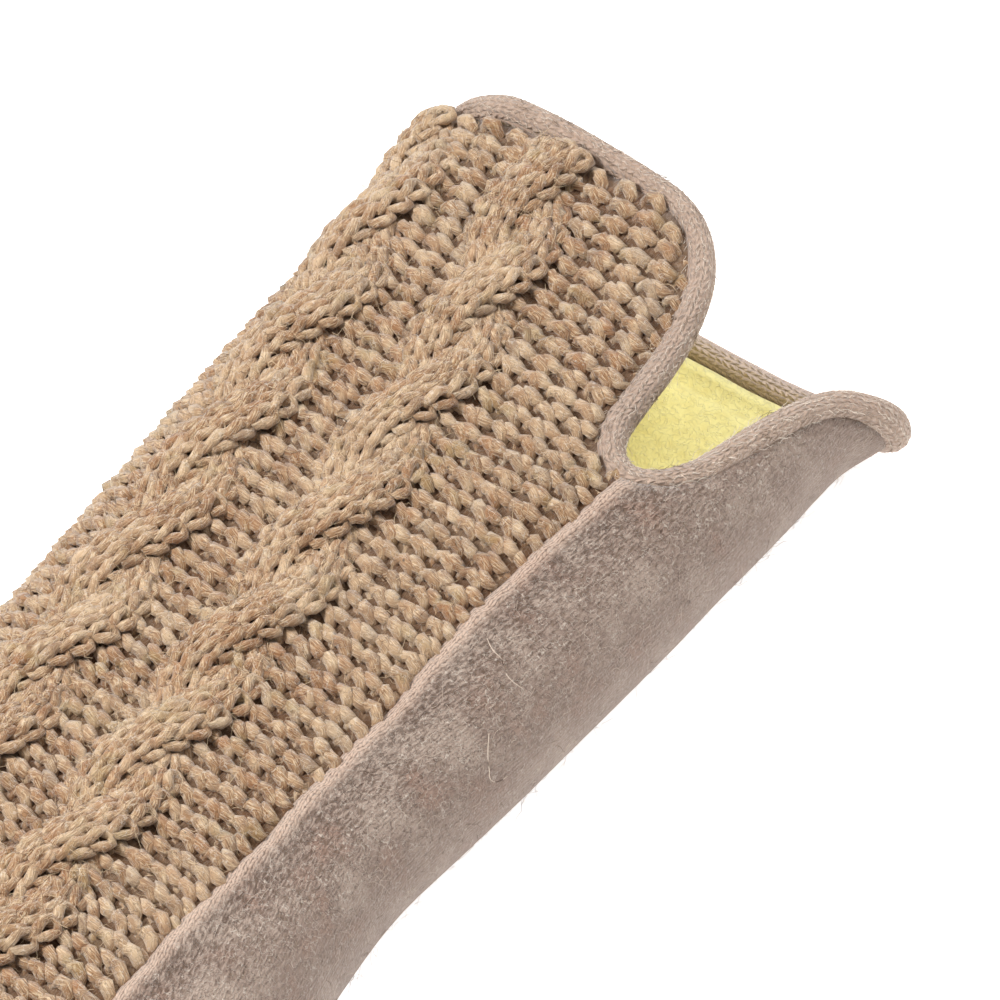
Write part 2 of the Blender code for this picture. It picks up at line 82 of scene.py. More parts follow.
# The two side seams, measured round the tube from its top centre line:
# distance from the cuff end, little-finger seam, thumb seam.
SEAMS = (
    (0.0, 23.3, -56.0),
    (45.0, 23.3, -56.0),
    (62.0, 21.4, -56.0),
    (100.0, 20.8, -55.0),
    (130.0, 20.5, -50.5),
    (160.0, 20.8, -49.0),
    (196.0, 31.0, -46.0),
)

# How far the knit's wales have leaned to the little-finger side: distance from the cuff end, lean.
GRAIN = (
    (0.0, -13.5),
    (20.0, -7.5),
    (40.0, -2.8),
    (60.0, 0.0),
    (84.0, 2.6),
    (110.0, 4.6),
    (143.0, 6.8),
    (196.0, 7.5),
)

# Centre line of the binding round the side vent, from the back's corner to the palm's corner:
# place round the tube, distance from the cuff end.
VENT_EDGE = (
    (-6.0, 0.0),
    (0.0, 0.8),
    (4.4, 2.6),
    (8.4, 5.6),
    (11.6, 9.8),
    (14.4, 17.3),
    (15.9, 24.9),
    (16.6, 32.2),
    (17.6, 38.2),
    (19.8, 41.8),
    (23.4, 43.3),
    (27.0, 41.6),
    (30.4, 36.5),
    (32.6, 28.8),
    (34.4, 21.7),
    (36.2, 16.2),
    (39.0, 11.2),
    (43.4, 7.2),
    (51.0, 3.6),
    (60.0, 1.2),
    (70.0, 0.0),
)

# The back's corner lifts and the palm's corner curls outward.
BACK_CORNER = {"u": 9.0, "spread": 11.0, "reach": 22.0, "lift": 2.0}
PALM_CORNER = {"u": 48.0, "spread": 12.0, "reach": 15.0, "flare": 3.4}

# Rope cables on the back: centre line on the grain, half width, rise, where one strand crosses.
CABLE_PITCH = 21.4
STRAND_SWING = 0.47
STRAND_HALF_WIDTH = 0.54
CABLES = (
    {"centre": -4.9, "half_width": 7.0, "rise": 2.1, "first": 61.8},
    {"centre": -25.3, "half_width": 6.8, "rise": 2.1, "first": 57.6},
)

# The knuckle line, where the fingers are set on.
KNUCKLE_ALONG = 194.0
KNUCKLE_SAG = 6.0
KNUCKLE_SLANT = 2.5
KNUCKLE_HALF_WIDTH = 42.0

# Finger stalls, from the thumb side to the little-finger side:
# name, left side and right side on the knuckle line, length, splay per millimetre,
# width and height near the tip.
FINGERS = (
    ("index", -42.0, -20.4, 69.0, -0.075, 18.6, 17.0),
    ("middle", -20.4, 1.2, 76.0, -0.012, 18.8, 17.2),
    ("ring", 1.2, 22.2, 71.0, 0.045, 18.2, 16.8),
    ("little", 22.2, 42.0, 57.0, 0.115, 16.8, 15.6),
)
STALL_WALL = 1.6
STALL_CORNER = 3.0
STALL_BLEND = 26.0
TIP_ROUNDING = 9.5

# The thumb is set into the side seam.
THUMB_ALONG = 147.0
THUMB_HOLE_HALF_LENGTH = 19.0
THUMB_HOLE_HALF_HEIGHT = 12.5
THUMB_HOLE_GAP = 0.9
THUMB_ROOT_DEPTH = 1.2
THUMB_ROOT_RISE = 0.9
THUMB_STRAIGHT = 8.0
THUMB_BLEND = 26.0
THUMB_ANGLE = math.radians(34.0)
THUMB_LENGTH = 66.0
THUMB_WIDTH = 21.0
THUMB_HEIGHT = 18.5

# The scene's cloth laps by this much at the sewn edges, where the solids keep a gap.
PANEL_LAP = 0.3
PALM_WALL = 1.3
PALM_RISE = 0.1
GROUND_WALL = 0.6
GROUND_DEPTH = 0.66
GROUND_SHARE = 0.7

# The palm's edge along a side seam, past the vent: a folded rim, a tuck into the seam and a trough
# beside the rim. Its line wanders in waves of size, length and start.
VENT_DEPTH = 44.0
FOLD = {"at": 1.7, "spread": 1.5, "rise": 1.35}
TROUGH = {"at": 5.6, "spread": 2.2, "rise": -0.35}
TUCK = {"reach": 1.3, "rise": -2.2}
SEAM_WAVES = ((0.26, 4.6, 0.0), (0.18, 2.1, 0.8), (0.14, 7.7, 2.0))
SEAM_WAVE_REACH = 3.0

# The underside's cuff edge is drawn in a little, and the fleece stops short of the bound edge.
UNDERSIDE = {"from": 58.0, "spread": 14.0, "reach": 26.0, "back": 2.4}
FLEECE_BACK = 2.2
FLEECE_REACH = 16.0

# Troughs of the fleece: place, lean, width and depth.
FLEECE_TROUGHS = (
    {"at": 7.4, "lean": 0.03, "width": 1.1, "depth": 1.2},
    {"at": 21.0, "lean": -0.10, "width": 2.6, "depth": 0.4},
)

# Soft creases of the palm: place, lean, width, place round the palm, spread and depth.
CREASES = (
    {"at": 63.0, "lean": 0.55, "width": 7.0, "v": -22.0, "spread": 15.0, "depth": 0.7},
    {"at": 96.0, "lean": -0.35, "width": 8.0, "v": -28.0, "spread": 13.0, "depth": 0.5},
    {"at": 128.0, "lean": 0.25, "width": 9.0, "v": -20.0, "spread": 16.0, "depth": 0.8},
    {"at": 150.0, "lean": -0.30, "width": 8.0, "v": 22.0, "spread": 14.0, "depth": 0.6},
)

# Spacing and counts of the scene's points, and the sizes of its seams and bound edge.
EDGE_STEP = 1.0
CUFF_EDGE_STEP = 0.8
EDGE_MARGIN = 0.5
SHELL_STEP = (1.9, 2.0)
GROUND_STEP = (2.2, 2.4)
LINING_STEP = (1.6, 1.8)
CORNER_POINTS = 11
CORNER_LEAST = 0.5
CORNER_CLEAR = 0.01
STALL_STATIONS = 22
TIP_ANGLES = 11
STALL_ROUND = 62.0
ROLL_STEP = 0.62
ROLL_SIDES = 14
ROLL_GIRTH = 13.6
ROLL_CORNER = 0.36
ROLL_LIFT = {"u": -23.0, "spread": 17.0, "up": 1.3, "out": 1.1}
RIDGE_POINTS = 160
RIDGE_RADIUS = 0.55
RIDGE_SIDES = 8
CURVE_SAMPLES = 240
CUFF_SAMPLES = 60
END_SAMPLES = 160
SEAM_SAMPLES = 600
MEETING_ROUNDS = 12
NORMAL_STEP = 0.05
TINY = 1e-6
LEAST = 1e-9

# The knit: a course every 3.2 mm. Reach is a share of a course, bow and slant are shares of a wale,
# and the other sizes are millimetres. Waves make a course uneven across, along, out and in girth.
# At its ends a course tucks in and thins, over a stretch given in radians of its wave.
COURSE = 3.2
FIRST_COURSE = 3.0
COURSE_CLEAR = 1.2
LOOP_POINTS = 11
STRAND_POINTS = 10
PURL_WALE = 4.5
PURL_REACH = 0.46
PURL_BOW = 0.19
PURL_SLANT = 0.10
PURL_BASE = -0.42
PURL_LIFT = 0.72
PURL_PEAK = 2.3
PURL_YARN = 1.05
PURL_THIN = 0.42
PURL_WAVES = {"across": 0.22, "along": 0.30, "out": 0.18, "girth": 0.10}
PURL_ENDS = {"stretch": 1.5, "tuck": 1.3, "thin": 0.7}
STRAND_WALES = 3
STRAND_REACH = 0.74
STRAND_BOW = 0.24
STRAND_BASE = 0.35
STRAND_RISE = 2.6
STRAND_ROUND = 3.0
STRAND_LEG = 0.38
STRAND_YARN = 0.87
STRAND_THIN = 0.74
STRAND_FLANK = 0.53
STRAND_CLEAR = 0.4
STRAND_WAVES = {"across": 0.16, "along": 0.35, "out": 0.14, "girth": 0.12}
STRAND_ENDS = {"stretch": 1.3, "tuck": 1.2, "thin": 0.5}
STRAND_STOP = 4.0
PURL_SIDES = 5
STRAND_SIDES = 6
YARN_TWIST = 0.3
TUBE_SHIFT = 7.3

# Loose fibres: how many, how long and how thick.
HAIR_POINTS = 4
HAIR_SIDES = 3
HAIR_RADIUS = 0.040
NAP_RADIUS = 0.032
PURL_HAIRS = 2200
STRAND_HAIRS = 3400
GROUND_HAIRS = 900
PALM_HAIRS = 1900
EDGE_HAIRS = 1700
PURL_HAIR_LENGTH = 1.9
STRAND_HAIR_LENGTH = 2.6
GROUND_HAIR_LENGTH = 1.6
PALM_HAIR_LENGTH = 2.3
EDGE_HAIR_LENGTH = 1.5
FULL_TURN = 6.3
SEED = 11

# Two long loose hairs on the palm: three places on each, round the tube and along it.
LOOSE_HAIRS = (
    ((24.6, 77.1), (28.4, 79.4), (32.0, 79.6)),
    ((33.0, 87.5), (36.5, 91.5), (39.0, 88.5)),
)
LOOSE_POINTS = 14

# Heather wool, brushed wool jersey and fleece, as sRGB hex.
WOOL_BASE = "9E7A59"
WOOL_PALE = "DCC4A3"
WOOL_DARK = "6C4B33"
WOOL_DEEP = "4E3A28"
WOOL_RUST = "96603A"
WOOL_GREY = "A39684"
# The next colour is painted shade, for the wool between the stitches.
WOOL_PAINTED_SHADE = "5E412D"
WOOL_OLIVE = "8F7F4E"
WOOL_COAL = "46423E"
JERSEY_BASE = "88756A"
JERSEY_PALE = "B2A092"
JERSEY_SOFT = "938074"
JERSEY_PINK = "947464"
JERSEY_DARK = "73614F"
JERSEY_DEEP = "4E3C32"
JERSEY_HAIR = "C9B8A8"
BINDING_PALE = "D2B6A2"
# The next colour is painted light, for the underside of the bound edge.
BINDING_PAINTED_LIGHT = "F2DCD0"
FLEECE_BASE = "FFF6B0"
FLEECE_PALE = "FFF9CF"
# The next colour is painted shade, for the fleece's hollows.
FLEECE_PAINTED_SHADE = "E3CF6E"
HAIR_PALE = "E6DACB"

# The view, and the lights: name, azimuth, elevation, distance, size in metres and power.
VIEW_AZIMUTH = 35.7
VIEW_ELEVATION = 49.1
VIEW_TARGET = (0.1117, 0.0782, 0.025)
FRAME_WIDTH = 0.1333
LENS = 550.0
SENSOR = 36.0
LIGHTS = (
    ("key", -40.0, 50.0, 0.9, 0.30, 8.6),
    ("cuff_light", 162.0, 52.0, 1.0, 0.6, 6.0),
)
WORLD_STRENGTH = 0.42
FLOOR_GLOW = 0.75
FLOOR_REACH = 6.0
FLOOR_DROP = 0.3



def smooth_table(rows, at, column):
    """Value of a table's column at some distances, by a cubic through its rows."""
    knots = np.array([row[0] for row in rows])
    values = np.array([row[column] for row in rows])
    slopes = np.gradient(values, knots)
    at = np.clip(np.asarray(at, dtype=float), knots[0], knots[-1])
    span = np.clip(np.searchsorted(knots, at, side="right") - 1, 0, len(knots) - 2)
    width = knots[span + 1] - knots[span]
    s = (at - knots[span]) / width
    rest = 1.0 - s
    return (
        values[span] * rest * rest * (1.0 + 2.0 * s)
        + slopes[span] * width * s * rest * rest
        + values[span + 1] * s * s * (3.0 - 2.0 * s)
        - slopes[span + 1] * width * s * s * rest
    )


def smooth_step(value):
    value = np.clip(value, 0.0, 1.0)
    return value * value * (3.0 - 2.0 * value)


def bell(distance):
    return np.exp(-distance * distance)


def half_round(t):
    """Distance round the tube from its top centre line to its bottom centre line."""
    half_width = smooth_table(SECTIONS, t, 1)
    radius = 0.5 * smooth_table(SECTIONS, t, 2)
    return 2.0 * (half_width - radius) + math.pi * radius


def tube_surface(u, t):
    """Points of the outer cloth surface, u round the tube from the top and t from the cuff end."""
    u = np.asarray(u, dtype=float)
    t = np.asarray(t, dtype=float)
    half_width = smooth_table(SECTIONS, t, 1)
    height = smooth_table(SECTIONS, t, 2)
    crown = smooth_table(SECTIONS, t, 3)
    radius = 0.5 * height
    flat = half_width - radius
    turn = half_round(t)
    u = (u + turn) % (2.0 * turn) - turn
    side = np.where(u < 0.0, -1.0, 1.0)
    away = np.abs(u)
    angle = np.clip((away - flat) / radius, 0.0, math.pi)
    past = np.maximum(away - flat - math.pi * radius, 0.0)
    x = side * (np.minimum(away, flat) + radius * np.sin(angle) - past)
    upper = np.maximum(np.cos(angle), 0.0)
    z = radius + radius * np.cos(angle) + crown * (1.0 - (x / half_width) ** 2) * upper

    back = BACK_CORNER
    lift = back["lift"] * bell((u - back["u"]) / back["spread"]) * smooth_step(1.0 - t / back["reach"])
    palm = PALM_CORNER
    flare = palm["flare"] * bell((u - palm["u"]) / palm["spread"]) * smooth_step(1.0 - t / palm["reach"])
    return np.stack((x + flare, -t, z + lift), axis=-1)


def tube_normal(u, t):
    u = np.asarray(u, dtype=float)
    t = np.asarray(t, dtype=float)
    round_way = tube_surface(u + NORMAL_STEP, t) - tube_surface(u - NORMAL_STEP, t)
    along = tube_surface(u, t + NORMAL_STEP) - tube_surface(u, t - NORMAL_STEP)
    normal = np.cross(along, round_way)
    return normal / np.linalg.norm(normal, axis=-1, keepdims=True)


def on_tube(u, t, rise):
    """Points on the tube's surface, moved out by rise, and never below the resting surface."""
    u = np.asarray(u, dtype=float)
    rise = np.broadcast_to(np.asarray(rise, dtype=float), u.shape)
    points = tube_surface(u, t) + tube_normal(u, t) * rise[..., None]
    points[..., 2] = np.maximum(points[..., 2], 0.0)
    return points


def knuckle_line(x):
    across = x / KNUCKLE_HALF_WIDTH
    return KNUCKLE_ALONG - KNUCKLE_SAG * across * across - KNUCKLE_SLANT * across


def resample(points, step):
    """The same line with even steps, its ends kept."""
    points = np.asarray(points, dtype=float)
    length = path_length(points)
    count = max(2, int(round(length[-1] / step)) + 1)
    at = np.linspace(0.0, length[-1], count)
    return np.stack([np.interp(at, length, points[:, k]) for k in range(points.shape[1])], axis=1)


def vent_curve():
    """The binding's centre line at the vent, as a smooth curve through its table."""
    rows = np.array(VENT_EDGE)
    along = path_length(rows)
    at = np.linspace(0.0, along[-1], CURVE_SAMPLES)
    table = np.column_stack((along, rows))
    return np.column_stack((smooth_table(table, at, 1), smooth_table(table, at, 2)))


def straight_edge(u_start, u_end):
    u = np.linspace(u_start, u_end, CUFF_SAMPLES)
    return np.column_stack((u, np.zeros(CUFF_SAMPLES)))


def binding_path(straight_step, vent_step):
    """The binding's centre line, round the whole cuff from bottom centre to bottom centre."""
    turn = float(half_round(0.0))
    vent = vent_curve()
    before = resample(straight_edge(-turn, vent[0, 0]), straight_step)
    after = resample(straight_edge(vent[-1, 0], turn), straight_step)
    return np.concatenate((before[:-1], resample(vent, vent_step), after[1:]))


def panel_edge():
    """Where the panels' cloth ends, just inside the binding."""
    path = binding_path(1.0, 0.5)
    way = np.gradient(path, axis=0)
    way /= np.linalg.norm(way, axis=1, keepdims=True)
    inward = np.column_stack((-way[:, 1], way[:, 0]))
    return path + inward * CUFF_INSET


def far_seam(t, way):
    """The thumb-side seam, drawn back by half of the thumb's hole on the panel at one side."""
    across = np.clip(1.0 - ((t - THUMB_ALONG) / THUMB_HOLE_HALF_LENGTH) ** 2, 0.0, None)
    back_by = THUMB_HOLE_HALF_HEIGHT * np.sqrt(across) - PANEL_LAP
    return smooth_table(SEAMS, t, 2) + way * back_by


def back_near_seam(t):
    return smooth_table(SEAMS, t, 1) + PANEL_LAP


def back_far_seam(t):
    return far_seam(t, 1.0)


def palm_near_seam(t):
    return smooth_table(SEAMS, t, 1) - PANEL_LAP - half_round(t)


def palm_far_seam(t):
    return far_seam(t, -1.0) + half_round(t)


def end_line(first, last, end, to_tube):
    """A panel's inner end from seam to seam, straight across or along the knuckle line."""
    if end is not None:
        u = np.linspace(first(end), last(end), END_SAMPLES)
        return np.column_stack((u, np.full(END_SAMPLES, end)))
    corners = []
    for seam in (first, last):
        t = KNUCKLE_ALONG
        for _ in range(MEETING_ROUNDS):
            t = float(knuckle_line(tube_surface(to_tube(seam(t), t), t)[0]))
        corners.append(float(seam(t)))
    u = np.linspace(corners[0], corners[1], END_SAMPLES)
    t = np.full(END_SAMPLES, KNUCKLE_ALONG)
    for _ in range(MEETING_ROUNDS):
        t = knuckle_line(tube_surface(to_tube(u, t), t)[:, 0])
    return np.column_stack((u, t))


def back_place(u, t):
    return u


def palm_place(v, t):
    """Place round the tube of a point measured from the bottom centre line."""
    return v + half_round(t)


def panel_outline(side, end=None):
    """A panel's four edges in the flat, in order: cuff, one seam, inner end, other seam."""
    edge = panel_edge()
    gap = -PANEL_LAP
    if side == "back":
        to_tube = back_place
        keep = (edge[:, 0] > SEAMS[0][2] + gap) & (edge[:, 0] < SEAMS[0][1] - gap)
        cuff = edge[keep]
        first, last = back_near_seam, back_far_seam
    else:
        to_tube = palm_place
        near = edge[edge[:, 0] > SEAMS[0][1] + gap]
        far = edge[edge[:, 0] < SEAMS[0][2] - gap][1:]
        near = np.column_stack((near[:, 0] - half_round(near[:, 1]), near[:, 1]))
        far = np.column_stack((far[:, 0] + half_round(far[:, 1]), far[:, 1]))
        cuff = np.concatenate((near, far))
        first, last = palm_far_seam, palm_near_seam
    far_end = end_line(first, last, end, to_tube)
    rising = np.linspace(cuff[-1, 1], far_end[0, 1], SEAM_SAMPLES)
    falling = np.linspace(far_end[-1, 1], cuff[0, 1], SEAM_SAMPLES)
    sides = (
        cuff,
        np.column_stack((first(rising), rising)),
        far_end,
        np.column_stack((last(falling), falling)),
    )
    steps = (CUFF_EDGE_STEP, EDGE_STEP, EDGE_STEP, EDGE_STEP)
    return np.concatenate([resample(*row)[:-1] for row in zip(sides, steps)]), to_tube


def inside(outline, points, margin):
    """Which points lie inside an outline and at least margin from it."""
    start = outline[None, :, :]
    stop = np.roll(outline, -1, axis=0)[None, :, :]
    here = points[:, None, :]
    above = (start[..., 1] > here[..., 1]) != (stop[..., 1] > here[..., 1])
    rise = stop[..., 1] - start[..., 1]
    rise = np.where(np.abs(rise) < LEAST, LEAST, rise)
    crossing = start[..., 0] + (here[..., 1] - start[..., 1]) * (stop[..., 0] - start[..., 0]) / rise
    within = (np.sum(above & (here[..., 0] < crossing), axis=1) % 2) == 1
    edge = stop - start
    share = np.sum((here - start) * edge, axis=-1) / np.maximum(np.sum(edge * edge, axis=-1), LEAST)
    nearest = start + np.clip(share, 0.0, 1.0)[..., None] * edge
    distance = np.min(np.linalg.norm(here - nearest, axis=-1), axis=1)
    return within & (distance > margin)


def ground_points(outline, step):
    """Rows of points inside an outline, every other row moved half a step."""
    low = outline.min(axis=0)
    high = outline.max(axis=0)
    columns = np.arange(low[0], high[0] + TINY, step[0])
    rows = np.arange(low[1], high[1] + TINY, step[1])
    u, t = np.meshgrid(columns, rows)
    u = u + np.where(np.arange(len(rows)) % 2 == 1, 0.5 * step[0], 0.0)[:, None]
    points = np.column_stack((u.ravel(), t.ravel()))
    return points[inside(outline, points, EDGE_MARGIN * min(step))]


def triangles(outline, points):
    """Triangles inside an outline, on its own points and those given."""
    flat = [Vector(row) for row in np.concatenate((outline, points))]
    loop = list(range(len(outline)))
    found = delaunay_2d_cdt(flat, [], [loop], 1, 1e-7)
    origin = [names[0] for names in found[3]]
    return [[origin[index] for index in face] for face in found[2]]


def rgb(text):
    """A material colour from an sRGB hex value."""
    values = [int(text[k:k + 2], 16) / 255.0 for k in (0, 2, 4)]
    linear = [v / 12.92 if v <= 0.04045 else ((v + 0.055) / 1.055) ** 2.4 for v in values]
    return (*linear, 1.0)


def world(points, side):
    """Glove millimetres to world metres, for the left glove or for its mirror image."""
    points = np.array(points, dtype=float) + np.array((GLOVE_CENTRE_X, CUFF_END_Y, 0.0))
    points[:, 0] *= SIDES[side]
    return points * MM


def mesh_piece(side, name, points, faces, uv, material, slot):
    """A riding piece with a UV map in millimetres; faces are turned on the mirrored glove."""
    name = side + "_" + name
    if SIDES[side] < 0.0:
        faces = [tuple(face)[::-1] for face in faces]
    mesh = bpy.data.meshes.new(name)
    mesh.from_pydata(world(points, side).tolist(), [], faces)
    layer = mesh.uv_layers.new(name="cloth_mm")
    corners = np.zeros(len(mesh.loops), dtype=np.int32)
    mesh.loops.foreach_get("vertex_index", corners)
    layer.data.foreach_set("uv", np.asarray(uv, dtype=np.float32)[corners].ravel())
    mesh.shade_smooth()
    mesh.materials.append(material)
    piece = bpy.data.objects.new(name, mesh)
    bpy.context.scene.collection.objects.link(piece)
    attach(piece, "root")
    return piece


def drawn_in(u, t):
    """Distance from the cuff end, with the underside's cuff edge drawn in."""
    turn = half_round(t)
    away = np.abs((u + turn) % (2.0 * turn) - turn)
    under = smooth_step((away - UNDERSIDE["from"]) / UNDERSIDE["spread"])
    return t + UNDERSIDE["back"] * under * smooth_step(1.0 - t / UNDERSIDE["reach"])


def sheet_shell(outline, to_tube, step, rise, thick):
    """A thin closed shell of cloth over an outline, and its UV map."""
    inner = ground_points(outline, step)
    flat = np.concatenate((outline, inner))
    faces_flat = triangles(outline, inner)
    u = to_tube(flat[:, 0], flat[:, 1])
    t = drawn_in(u, flat[:, 1])
    outside = on_tube(u, t, rise(flat))
    within = on_tube(u, t, rise(flat) - thick)
    shift = len(flat)
    faces = [tuple(face[::-1]) for face in faces_flat]
    faces += [tuple(index + shift for index in face) for face in faces_flat]
    count = len(outline)
    for index in range(count):
        after = (index + 1) % count
        faces.append((index, after, after + shift, index + shift))
    uv = np.concatenate((flat, flat))
    return np.concatenate((outside, within)), faces, uv


def path_length(points):
    """Distance along a line at each of its points."""
    return np.concatenate(([0.0], np.cumsum(np.linalg.norm(np.diff(points, axis=0), axis=1))))


def ring_faces(rows, sides, closed=False):
    """Faces between rings of equal length; closed joins the last ring to the first."""
    row = np.arange(rows if closed else rows - 1)[:, None] * sides
    above = (row + sides) % (rows * sides)
    here = np.arange(sides)[None, :]
    beside = (here + 1) % sides
    corners = (row + here, row + beside, above + beside, above + here)
    return np.stack(corners, axis=-1).reshape(-1, 4)


def sweep(lines, sides, twist=0.0):
    """Tubes along lines of (points, up directions, radii), with a UV map in millimetres."""
    angle = 2.0 * math.pi * np.arange(sides) / sides
    cos_side, sin_side = np.cos(angle)[None, :, None], np.sin(angle)[None, :, None]
    all_points, all_faces, all_uv = [], [], []
    shift = 0
    for points, up, radius in lines:
        way = np.gradient(points, axis=0)
        way /= np.linalg.norm(way, axis=1, keepdims=True)
        across = np.cross(way, up)
        across /= np.linalg.norm(across, axis=1, keepdims=True)
        over = np.cross(across, way)
        spoke = cos_side * across[:, None, :] + sin_side * over[:, None, :]
        ring = points[:, None, :] + radius[:, None, None] * spoke
        count = len(points)
        quads = ring_faces(count, sides)[:, [0, 3, 2, 1]] + shift
        all_faces.extend(map(tuple, quads.tolist()))
        all_faces.append(tuple(range(shift, shift + sides)))
        last = shift + (count - 1) * sides
        all_faces.append(tuple(range(last + sides - 1, last - 1, -1)))
        length = path_length(points)[:, None]
        around = np.abs(angle - math.pi)[None, :] * float(radius.mean())
        own_place = length + TUBE_SHIFT * shift
        uv = np.stack(np.broadcast_arrays(around + twist * length, own_place), axis=-1)
        all_points.append(ring.reshape(-1, 3))
        all_uv.append(uv.reshape(-1, 2))
        shift += count * sides
    return np.concatenate(all_points), all_faces, np.concatenate(all_uv)


def grain(t):
    return smooth_table(GRAIN, t, 1)


def cable_rise(u, t):
    """Height of the two-strand ropes above the purl ground."""
    rise = np.zeros(np.shape(u))
    for cable in CABLES:
        across = (u - grain(t) - cable["centre"]) / cable["half_width"]
        for strand in (0, 1):
            phase = math.pi * ((cable["first"] - t) / CABLE_PITCH + strand)
            away = (across + STRAND_SWING * np.cos(phase)) / STRAND_HALF_WIDTH
            profile = np.sqrt(np.maximum(1.0 - away * away, 0.0))
            rise = np.maximum(rise, cable["rise"] * profile * (0.72 + 0.28 * np.sin(phase)))
    return rise


def row_span(outline, t):
    """The back's two edges on one course."""
    start, stop = outline, np.roll(outline, -1, axis=0)
    cross = (start[:, 1] > t) != (stop[:, 1] > t)
    if not cross.any():
        return None
    share = (t - start[cross, 1]) / (stop[cross, 1] - start[cross, 1])
    u = start[cross, 0] + share * (stop[cross, 0] - start[cross, 0])
    return float(u.min()), float(u.max())


def wobble(s, size, rng):
    """A slow uneven wave along a course, as hand-knitted stitches have."""
    slow = np.sin(0.83 * s + rng.uniform(0.0, FULL_TURN))
    quick = np.sin(1.9 * s + rng.uniform(0.0, FULL_TURN))
    return size * (0.6 * slow + 0.4 * quick)


def yarn_line(s, u, t, rise, thick, ends):
    """One course as a line for a tube; at its ends it tucks in and thins."""
    inner = smooth_step(np.minimum(s - s[0], s[-1] - s) / ends["stretch"])
    rise = rise * inner - ends["tuck"] * (1.0 - inner)
    thick = thick * (ends["thin"] + (1.0 - ends["thin"]) * inner)
    return on_tube(u, t, rise), tube_normal(u, t), thick


def courses(outline):
    """Distance from the cuff and the two edges of every course."""
    for row in range(int(KNUCKLE_ALONG / COURSE)):
        t = CUFF_INSET + FIRST_COURSE + row * COURSE
        spans = [row_span(outline, t + away) for away in (-COURSE_CLEAR, 0.0, COURSE_CLEAR)]
        if None not in spans:
            yield t, (max(low for low, high in spans), min(high for low, high in spans))


def purl_courses(outline, rng):
    """The ground: heads and sinkers of purl stitches stand out in rows, and the legs lie deep."""
    lines = []
    turn = 2.0 * math.pi / PURL_WALE
    for t, (low, high) in courses(outline):
        lean = float(grain(t))
        s_low, s_high = (low - lean) * turn, (high - lean) * turn
        count = int((s_high - s_low) / (2.0 * math.pi) * LOOP_POINTS)
        s = np.linspace(s_low, s_high, count)
        u = lean + s / turn + PURL_BOW * PURL_WALE * np.sin(2.0 * s)
        u = u + wobble(s, PURL_WAVES["across"], rng)
        line_t = t + PURL_REACH * COURSE * np.cos(s) + PURL_SLANT * PURL_WALE * np.sin(2.0 * s)
        line_t = line_t + wobble(s, PURL_WAVES["along"], rng)
        out = 0.5 + 0.5 * np.cos(2.0 * s)
        rise = PURL_BASE + PURL_LIFT * (PURL_PEAK * out - (PURL_PEAK - 1.0))
        rise = rise + wobble(s, PURL_WAVES["out"], rng)
        thick = PURL_YARN * (PURL_THIN + (1.0 - PURL_THIN) * np.sqrt(out))
        thick = thick * (1.0 + wobble(s, PURL_WAVES["girth"], rng))
        lines.append(yarn_line(s, np.clip(u, low, high), line_t, rise, thick, PURL_ENDS))
    return lines


def strand_courses(outline, cable, strand, rng):
    """One strand of a cable: plain stitches on a path that swings over and under the other."""
    lines = []
    wide = 2.0 * cable["half_width"] * STRAND_HALF_WIDTH
    wale = wide / STRAND_WALES

    def path(t):
        phase = math.pi * ((cable["first"] - t) / CABLE_PITCH + strand)
        swing = STRAND_SWING * cable["half_width"] * math.cos(phase)
        return cable["centre"] + float(grain(t)) - swing, math.sin(phase)

    for t, (low, high) in courses(outline):
        centre, over = path(t)
        reach = STRAND_CLEAR * wide
        if centre + reach > high or centre - reach < low or t > KNUCKLE_ALONG - STRAND_STOP:
            continue
        slope = path(t + 0.5)[0] - path(t - 0.5)[0]
        stretch = math.hypot(1.0, slope)
        s = np.linspace(0.0, 2.0 * math.pi * STRAND_WALES, STRAND_WALES * STRAND_POINTS + 1)
        inner = smooth_step(np.minimum(s, s[-1] - s) / STRAND_ENDS["stretch"])
        across = wale * s / (2.0 * math.pi) - 0.5 * wide
        across = across + STRAND_BOW * wale * np.sin(2.0 * s) + wobble(s, STRAND_WAVES["across"], rng)
        along = STRAND_REACH * COURSE * stretch * np.cos(s) * inner + wobble(s, STRAND_WAVES["along"], rng)
        legs = 0.5 - 0.5 * np.cos(2.0 * s)
        crown = STRAND_BASE + STRAND_RISE * (0.5 + 0.5 * over)
        edge = np.minimum(np.abs(across) / (STRAND_FLANK * wide), 1.0)
        rise = crown - STRAND_ROUND * (1.0 - np.sqrt(1.0 - edge * edge))
        rise = rise + STRAND_LEG * (2.0 * legs - 1.0) + wobble(s, STRAND_WAVES["out"], rng)
        thick = STRAND_YARN * (STRAND_THIN + (1.0 - STRAND_THIN) * legs)
        thick = thick * (1.0 + wobble(s, STRAND_WAVES["girth"], rng))
        u = centre + (across + slope * along) / stretch
        line_t = t + (along - slope * across) / stretch
        lines.append(yarn_line(s, u, line_t, rise, thick, STRAND_ENDS))
    return lines


def curled_hairs(roots, ways, ups, length, radius, rng):
    """Loose fibres, each a short uneven curl from its root."""
    lines = []
    share = np.linspace(0.0, 1.0, HAIR_POINTS)[:, None]
    taper = np.linspace(radius, 0.5 * radius, HAIR_POINTS)
    for root, way, up in zip(roots, ways, ups):
        own = length * rng.uniform(0.4, 1.6)
        curl = own * rng.uniform(0.08, 0.26)
        angle = rng.uniform(0.0, FULL_TURN) + share * rng.uniform(2.5, 7.5)
        aside = np.cross(up, way)
        stand = rng.uniform(0.0, 0.8) ** 2
        coil = curl * (np.cos(angle) * aside + 0.6 * np.sin(angle) * up)
        line = root + own * share * (way + stand * up) + coil
        lines.append((line, np.tile(up + 0.02 * way, (HAIR_POINTS, 1)), taper))
    return lines


